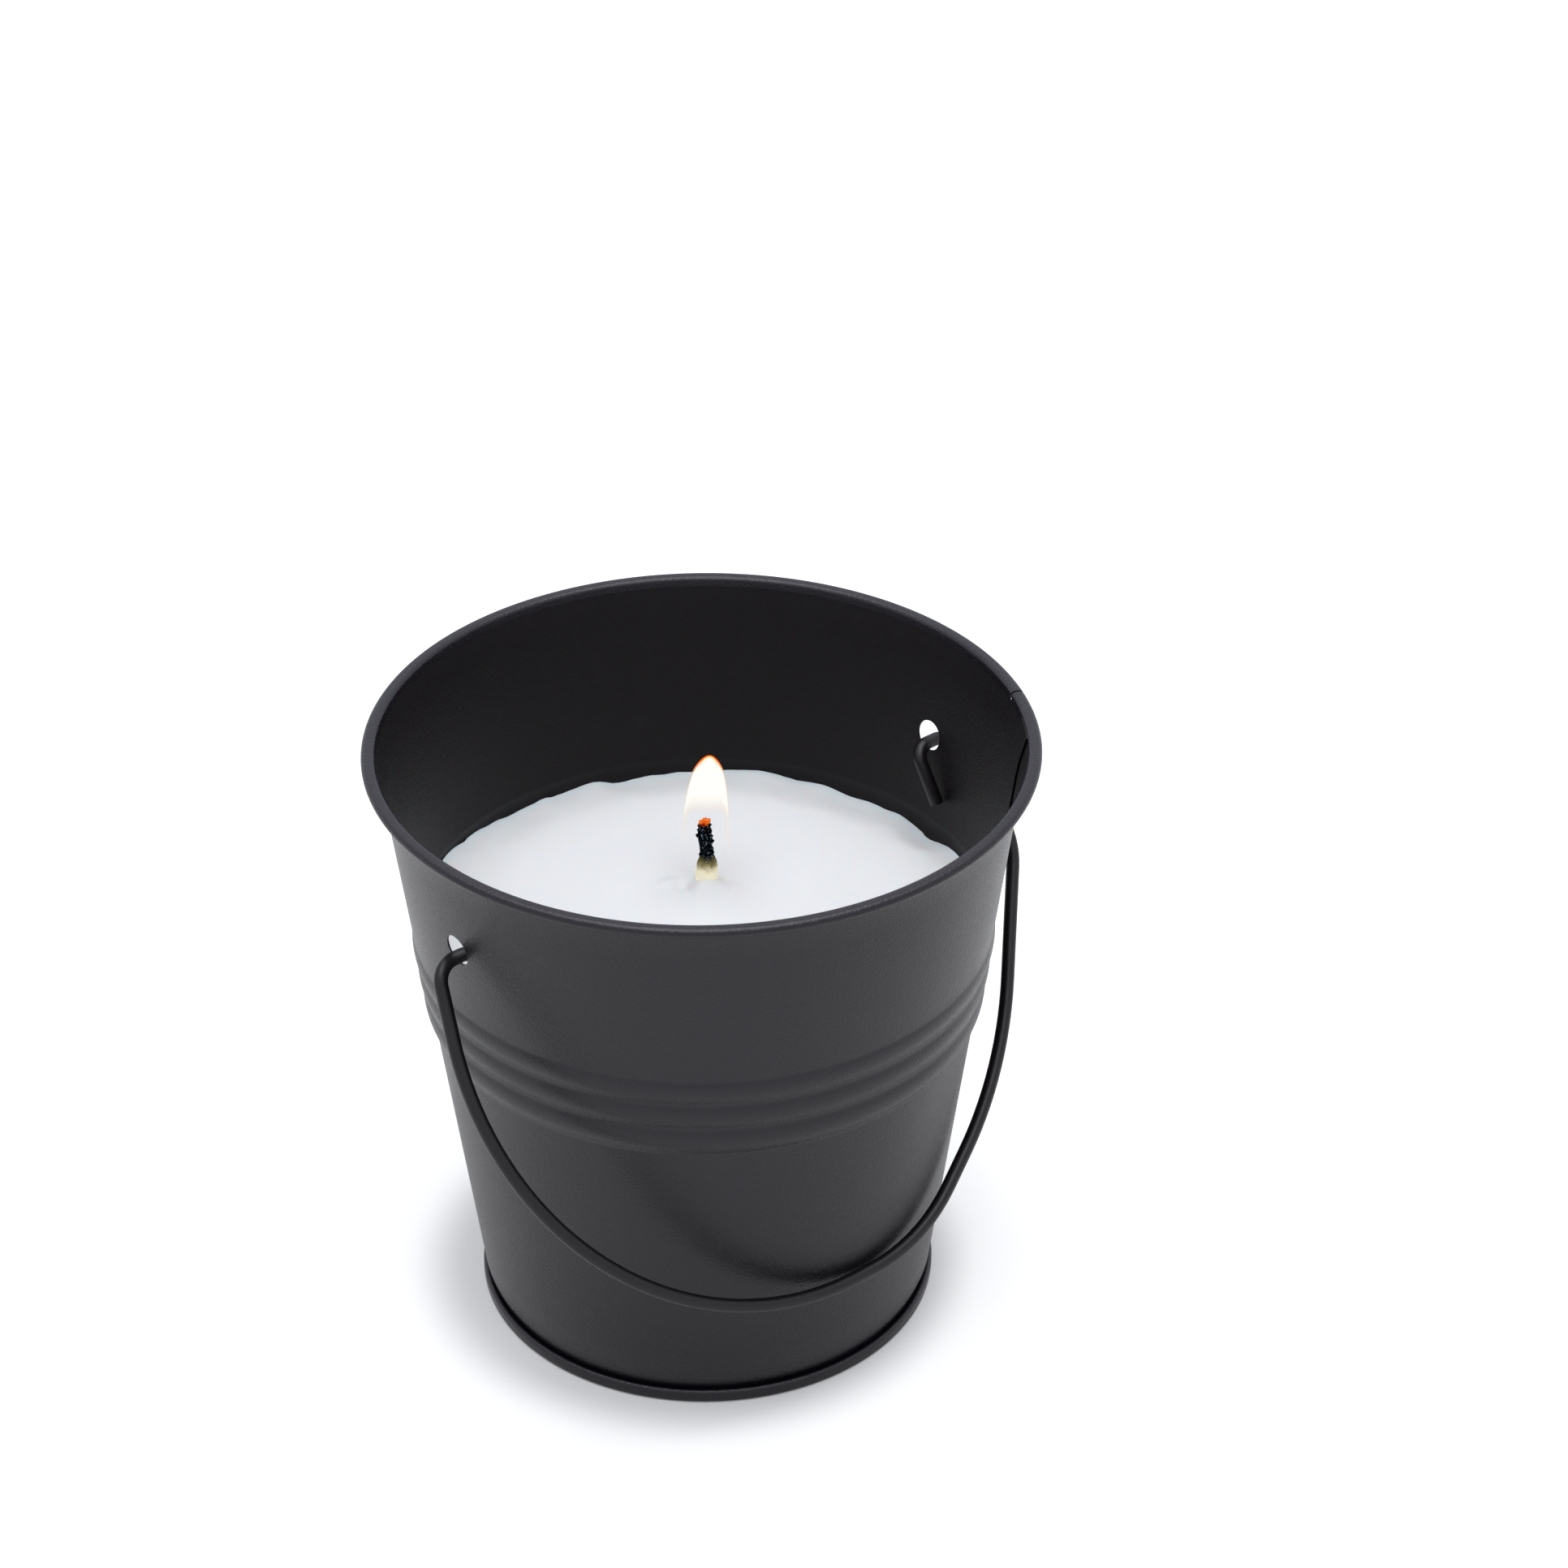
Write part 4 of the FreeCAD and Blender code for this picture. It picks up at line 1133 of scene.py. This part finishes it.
@dataclass
class Wick:
    """The cotton wick, sizes in millimetres.

    Attributes:
        place: Where it stands, (x, y).
        sections: Its rings as (height, radius, drift).
        drift_course: Which way the drift goes, (x, y).
        ring_height: Height of the flats over the plain foot, which ends at fine_from.
        burnt_from: Height over which the cotton is burnt rough.
        scorched_from: Height over which it is rough to the scorched share.
        grain: Size of the roughness.
        roughness: Height of the roughness.
    """

    place: Point = WICK_PLACE
    sections: tuple[Triple, ...] = (
        (3.4, 1.15, 0.0), (62.0, 1.15, 0.0), (64.3, 1.75, 0.36), (66.2, 1.7, 0.42), (67.2, 1.62, 0.46),
        (68.0, 1.5, 0.47), (68.6, 1.22, 0.45), (69.4, 1.05, 0.4), (70.6, 0.98, 0.3), (71.6, 1.02, 0.24),
        (72.6, 1.04, 0.19), (73.6, 0.95, 0.1), (74.3, 0.96, 0.07), (74.8, 0.92, 0.12), (75.3, 0.86, 0.18),
        (75.6, 0.62, 0.2),
    )
    drift_course: Point = (0.8, -0.6)
    sides: int = 28
    ring_height: float = 0.25
    fine_from: float = 62.5
    burnt_from: float = 69.5
    scorched_from: float = 65.5
    scorched_share: float = 0.35
    grain: float = 0.5
    roughness: float = 1.4

    def build(self) -> bpy.types.Object:
        """Stacks rings up the wick, closes its ends and roughens its burnt cotton.

        Returns:
            The wick.
        """
        Bench.clear()
        low, radius, _ = self.sections[0]
        bpy.ops.mesh.primitive_circle_add(vertices=self.sides, radius=radius * MM, fill_type="NOTHING")
        wick = bpy.context.object
        wick.name = wick.data.name = "wick_cord"
        bpy.ops.object.mode_set(mode="EDIT")
        bpy.ops.mesh.select_all(action="SELECT")
        foot = Vector((*self.place, 0.0))
        course = Vector((*self.drift_course, 0.0))
        middle = (foot + Vector((0.0, 0.0, low))) * MM
        bpy.ops.transform.translate(value=middle)
        for before, after in pairwise(self.sections):
            fine = after[0] > self.fine_from
            flats = max(1, round((after[0] - before[0]) / self.ring_height)) if fine else 1
            was = before[1]
            for flat in range(1, flats + 1):
                height, radius, drift = (
                    start + (end - start) * flat / flats for start, end in zip(before, after)
                )
                spot = (foot + course * drift + Vector((0.0, 0.0, height))) * MM
                bpy.ops.mesh.extrude_region_move(TRANSFORM_OT_translate={"value": spot - middle})
                bpy.ops.transform.resize(value=(radius / was, radius / was, 1.0), center_override=spot)
                middle, was = spot, radius
        bpy.ops.mesh.edge_face_add()
        bpy.ops.mesh.select_all(action="DESELECT")
        bpy.ops.mesh.select_non_manifold()
        bpy.ops.mesh.edge_face_add()
        Bench.seal()
        group = wick.vertex_groups.new(name="burnt")
        for vertex in wick.data.vertices:
            height = vertex.co.z / MM
            if height > self.scorched_from:
                share = 1.0 if height > self.burnt_from else self.scorched_share
                group.add([vertex.index], share, "REPLACE")
        Bench.roughen(wick, self.grain * MM, self.roughness * MM, "burnt")
        Bench.smooth(wick, 60.0)
        return wick


@dataclass
class Bail:
    """The wire bail, sizes in millimetres and degrees; s runs along the pivot line, d down the bail.

    Attributes:
        tilt: How far the hanging bail leans out from upright.
        reach: Half the distance between the holes; the hooks lie inside it, the legs outside.
        drop: How far down the crown lies.
        left_spread: How much wider than the leg the left corner lies.
        crown_shift: How far to the right of the middle the crown ends.
        haunch_inset: How far inside the right hole the haunch lies, its rise above the crown.
        shoulder_outset: How far outside the right hole the shoulder lies, its drop under the pivot.
        flat_turn: The most that one flat of a bend turns; flat_length is the longest flat.
        end_rounding: Rounding of the cut ends.
    """

    wire: float = 2.1
    pivot_height: float = 78.0
    tilt: float = 33.907
    reach: float = 45.22
    hook_length: float = 9.4
    hook_inset: float = 2.9
    hook_bend: float = 2.4
    leg_outset: float = 3.8
    leg_bend: float = 3.6
    drop: float = 68.9
    left_spread: float = 12.5
    left_bend: float = 49.44
    crown_shift: float = 10.7
    crown_bend: float = 31.5
    haunch_inset: float = 9.3
    haunch_rise: float = 17.6
    haunch_bend: float = 63.0
    shoulder_outset: float = 8.5
    shoulder_drop: float = 19.2
    shoulder_bend: float = 12.0
    sides: int = 24
    flat_turn: float = 6.0
    flat_length: float = 2.2
    least_flats: int = 3
    end_rounding: float = 0.3

    def corners(self) -> list[Triple]:
        """The wire's corners, from the left hook's end to the right one's.

        Returns:
            Each corner as (s, d, bend radius).
        """
        hook = self.reach - self.hook_inset
        leg = self.reach + self.leg_outset
        return [
            (-hook, self.hook_length, 0.0),
            (-hook, 0.0, self.hook_bend),
            (-leg, 0.0, self.leg_bend),
            (-leg - self.left_spread, self.drop, self.left_bend),
            (self.crown_shift, self.drop, self.crown_bend),
            (self.reach - self.haunch_inset, self.drop - self.haunch_rise, self.haunch_bend),
            (self.reach + self.shoulder_outset, self.shoulder_drop, self.shoulder_bend),
            (leg, 0.0, self.leg_bend),
            (hook, 0.0, self.hook_bend),
            (hook, self.hook_length, 0.0),
        ]

    def place(self, spot: Vector) -> Vector:
        """Where a spot (s, d) of the bail's own plane lies, in metres."""
        tilt = math.radians(self.tilt)
        return Vector((
            spot.x * MM, -spot.y * math.sin(tilt) * MM, (self.pivot_height - spot.y * math.cos(tilt)) * MM
        ))

    def build(self) -> bpy.types.Object:
        """Draws the wire run by run and bend by bend.

        Returns:
            The bail.
        """
        tilt = math.radians(self.tilt)
        normal = Vector((0.0, math.cos(tilt), -math.sin(tilt)))
        corners = [(Vector((s, d)), bend) for s, d, bend in self.corners()]
        Bench.clear()
        bpy.ops.mesh.primitive_circle_add(
            vertices=self.sides, radius=self.wire / 2.0 * MM, fill_type="NOTHING",
            location=self.place(corners[0][0]), rotation=(-tilt, 0.0, 0.0),
        )
        wire = bpy.context.object
        wire.name = wire.data.name = "bail_wire"
        bpy.ops.object.transform_apply(location=True, rotation=True, scale=True)
        bpy.ops.object.mode_set(mode="EDIT")
        bpy.ops.mesh.select_all(action="SELECT")
        here = corners[0][0]
        for (before, _), (corner, bend), (after, _) in zip(corners, corners[1:], corners[2:]):
            came = (corner - before).normalized()
            goes = (after - corner).normalized()
            turn = came.angle(goes)
            cut = bend * math.tan(turn / 2.0)
            start = corner - came * cut
            side = 1.0 if came.x * goes.y - came.y * goes.x > 0.0 else -1.0
            inwards = Vector((-came.y, came.x)) * side
            self.run(here, start)
            steps = max(
                self.least_flats, math.ceil(math.degrees(turn) / self.flat_turn),
                math.ceil(bend * turn / self.flat_length),
            )
            bpy.ops.mesh.spin(
                steps=steps, angle=-turn, center=self.place(start + inwards * bend), axis=normal * side
            )
            here = corner + goes * cut
        self.run(here, corners[-1][0])
        self.close_end()
        bpy.ops.mesh.select_all(action="DESELECT")
        bpy.ops.mesh.select_non_manifold()
        self.close_end()
        Bench.seal()
        Bench.smooth(wire)
        return wire

    def run(self, first: Vector, last: Vector) -> None:
        """Pulls the open end of the wire along a straight run."""
        bpy.ops.mesh.extrude_region_move(
            TRANSFORM_OT_translate={"value": self.place(last) - self.place(first)}
        )

    def close_end(self) -> None:
        """Closes the selected open end of the wire and rounds its edge."""
        bpy.ops.mesh.edge_face_add()
        bpy.ops.mesh.bevel(offset=self.end_rounding * MM, segments=3, affect="EDGES")


@dataclass
class Flame:
    """The candle's flame as thin nested layers, sizes in millimetres.

    Attributes:
        place: Where its foot stands, (x, y).
        lean: How far its tip leans over, (x, y).
        layers: Each layer's name and how proud of the widths it stands.
        widths: The flame's outline as (height, radius).
        dome_from: Height over which a layer is also raised by what it stands proud.
        level_slack: How near its height a ring's points are looked for.
    """

    place: Point = (6.88, 8.04)
    lean: Point = (0.62, -0.52)
    layers: tuple[tuple[str, float], ...] = (("flame_edge_sheet", 0.15), ("flame_light_sheet", 0.0))
    widths: tuple[Point, ...] = (
        (66.6, 2.6), (68.0, 3.1), (70.0, 3.38), (72.0, 3.46), (74.5, 3.44), (76.8, 3.34), (79.3, 3.14),
        (81.7, 2.80), (83.1, 2.5), (84.2, 2.14), (85.0, 1.76), (85.7, 1.34), (86.25, 0.9), (86.65, 0.48),
        (86.84, 0.0),
    )
    dome_from: float = 80.0
    level_slack: float = 0.01
    steps: int = 48

    def build(self) -> list[bpy.types.Object]:
        """Turns every layer round the flame's own axis.

        Returns:
            The layers, outermost first.
        """
        made = []
        foot, top = self.widths[0][0], self.widths[-1][0]
        for name, proud in self.layers:
            raised = [height + proud * (height > self.dome_from) for height, _ in self.widths]
            spread = [width + proud if width else 0.0 for _, width in self.widths]
            layer = Bench.turned(name, list(zip(spread, raised)), self.steps, middle=self.place)
            for (height, _), level in list(zip(self.widths, raised))[1:]:
                share = ((height - foot) / (top - foot)) ** 2
                Bench.pick(layer, lambda place: abs(place.z / MM - level) < self.level_slack)
                bpy.ops.transform.translate(value=Vector((*self.lean, 0.0)) * share * MM)
            bpy.ops.object.mode_set(mode="OBJECT")
            Bench.apply(layer, "SUBSURF", levels=1, render_levels=1)
            Bench.smooth(layer, 80.0)
            made.append(layer)
        return made


# Stage


@dataclass
class Studio:
    """Floor, soft light and camera, sizes in metres.

    Attributes:
        lens: Focal length in millimetres.
        sky: Strength of the sky as a light.
        shown_white: Strength of the sky where it is seen.
        floor_lift: Glow of the floor that is seen, near the foot and away from it; the dimmer glow near the
            foot is a painted shadow.
        shadow_reach: Distances from the painted shadow's middle where that glow begins to change and is
            full.
        horizon_lift: Further glow that the far floor gains over the horizon's reach.
        mirrored_lift: Glow of the floor in reflections.
        lamp_power: Power of the softbox overhead in watts.
    """

    floor_size: float = 6.0
    camera_place: Triple = (-0.3362, -0.41724, 0.42898)
    camera_turn: Triple = (57.58, 0.0, -40.15)
    lens: float = 98.76
    sky: float = 0.42
    sky_colour: Triple = (0.87, 0.905, 1.0)
    shown_white: float = 1.0
    floor_colour: float = 0.86
    floor_lift: Point = (0.1, 0.42)
    horizon_lift: float = 0.6
    horizon_reach: Point = (0.3, 1.2)
    shadow_reach: Point = (0.0355, 0.0460)
    shadow_middle: Triple = (-0.0018, 0.0015, 0.0)
    mirrored_lift: float = 0.1
    lamp_place: Triple = (-0.05, -0.05, 1.25)
    lamp_aim: Triple = (0.0, 0.0, 0.05)
    lamp_size: float = 1.3
    lamp_power: float = 15.0

    def build(self) -> None:
        """Makes the floor, the world, the lamp and the camera."""
        self.make_floor()
        self.make_world()
        self.make_lamp()
        self.make_camera()
        bpy.context.scene.view_settings.view_transform = "Standard"

    def make_floor(self) -> None:
        """A pale floor that shows white to the camera and in reflections, and keeps the shadow; its seen
        glow is dimmer near the foot, a painted shadow.
        """
        Bench.clear()
        bpy.ops.mesh.primitive_plane_add(size=self.floor_size)
        floor = bpy.context.object
        floor.name = "floor"
        material = bpy.data.materials.new("pale_floor")
        material.use_nodes = True
        nodes = Nodes(material.node_tree)
        shader = material.node_tree.nodes["Principled BSDF"]
        shader.inputs["Base Color"].default_value = (self.floor_colour,) * 3 + (1.0,)
        shader.inputs["Roughness"].default_value = 0.9
        shader.inputs["Specular IOR Level"].default_value = 0.0
        path = nodes.add("ShaderNodeLightPath")
        distance = nodes.add("ShaderNodeVectorMath", operation="LENGTH")
        from_middle = nodes.add("ShaderNodeVectorMath", operation="SUBTRACT")
        nodes.join(nodes.add("ShaderNodeTexCoord").outputs["Object"], from_middle.inputs[0])
        from_middle.inputs[1].default_value = self.shadow_middle
        nodes.join(from_middle.outputs[0], distance.inputs[0])
        # Painted shadow: the glow that is seen is lowest near shadow_middle and rises to full over
        # shadow_reach.
        near, far = self.floor_lift
        away = nodes.slope(distance.outputs["Value"], *self.shadow_reach)
        lift = nodes.sum("MULTIPLY_ADD", away, far - near, near)
        beyond = nodes.slope(distance.outputs["Value"], *self.horizon_reach)
        lift = nodes.sum("MULTIPLY_ADD", beyond, self.horizon_lift, lift)
        seen = nodes.sum("MAXIMUM", path.outputs["Is Camera Ray"], path.outputs["Is Transmission Ray"])
        lift = nodes.sum("MULTIPLY", seen, lift)
        lift = nodes.sum("MULTIPLY_ADD", path.outputs["Is Glossy Ray"], self.mirrored_lift, lift)
        shader.inputs["Emission Color"].default_value = (1.0, 1.0, 1.0, 1.0)
        nodes.join(lift, shader.inputs["Emission Strength"])
        Bench.dress(floor, material)

    def make_world(self) -> None:
        """A soft sky: white where the camera or a reflection sees it, dimmer as a light."""
        world = bpy.data.worlds.new("soft_sky")
        world.use_nodes = True
        bpy.context.scene.world = world
        nodes = Nodes(world.node_tree)
        background = world.node_tree.nodes["Background"]
        path = nodes.add("ShaderNodeLightPath")
        tint = nodes.blend(path.outputs["Is Camera Ray"], self.sky_colour, (1.0, 1.0, 1.0))
        nodes.join(tint, background.inputs["Color"])
        seen = nodes.sum("MAXIMUM", path.outputs["Is Camera Ray"], path.outputs["Is Glossy Ray"])
        seen = nodes.sum("MAXIMUM", seen, path.outputs["Is Transmission Ray"])
        strength = nodes.sum("MULTIPLY_ADD", seen, self.shown_white - self.sky, self.sky)
        nodes.join(strength, background.inputs["Strength"])

    def make_lamp(self) -> None:
        """One large soft lamp overhead, aimed at the bucket."""
        data = bpy.data.lights.new("overhead_softbox", "AREA")
        data.size = self.lamp_size
        data.energy = self.lamp_power
        lamp = bpy.data.objects.new("overhead_softbox", data)
        bpy.context.scene.collection.objects.link(lamp)
        lamp.location = self.lamp_place
        aim = Vector(self.lamp_aim) - Vector(self.lamp_place)
        lamp.rotation_euler = aim.to_track_quat("-Z", "Y").to_euler()

    def make_camera(self) -> None:
        """The camera, at the photograph's own view of the bucket."""
        data = bpy.data.cameras.new("camera")
        data.sensor_width = 36.0
        data.lens = self.lens
        camera = bpy.data.objects.new("camera", data)
        bpy.context.scene.collection.objects.link(camera)
        camera.location = self.camera_place
        camera.rotation_euler = [math.radians(turn) for turn in self.camera_turn]
        bpy.context.scene.camera = camera


# Putting it together


def place_piece(piece: bpy.types.Object, material: bpy.types.Material, body: Body,
                nodes: Iterable[str] = ()) -> None:
    """Dresses a finished piece, hangs it on the body that it moves with, and hides the CAD nodes that it
    stands for.

    Args:
        piece: The piece.
        material: Its finish.
        body: Body that it moves with.
        nodes: CAD nodes that it stands for.
    """
    Bench.dress(piece, material)
    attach(piece, body.value)
    if nodes:
        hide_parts(*nodes)
    log.info("%s: %d faces, rides on %s", piece.name, len(piece.data.polygons), body.value)


def main() -> None:
    """Builds the candle bucket and its stage."""
    logging.basicConfig(level=logging.INFO, format="%(name)s: %(message)s")
    finishes = Finishes()
    studio = Studio()
    studio.build()

    wall = BucketWall()
    shell = wall.build()
    place_piece(shell, finishes.paint, Body.BUCKET, ["bucket_wall"])
    wall.line(shell, finishes.inner_paint)
    for strip, paint in zip(wall.build_laps(), (finishes.paint, finishes.inner_paint)):
        place_piece(strip, paint, Body.BUCKET)
    place_piece(FootSeam().build(), finishes.paint, Body.BUCKET, ["base_plate"])
    wax = WaxFill().build(wall, studio.camera_turn[2])
    place_piece(wax, finishes.wax, Body.BUCKET, ["candle_wax"])
    place_piece(Wick().build(), finishes.cotton, Body.BUCKET, ["wick"])
    place_piece(Bail().build(), finishes.wire, Body.BAIL, ["bail_handle"])
    for layer, material in zip(Flame().build(), finishes.flame):
        place_piece(layer, material, Body.BUCKET)
    Bench.dress(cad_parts["wick_sustainer"], finishes.tin)
    Bench.clear()


if __name__ == "__main__":
    main()
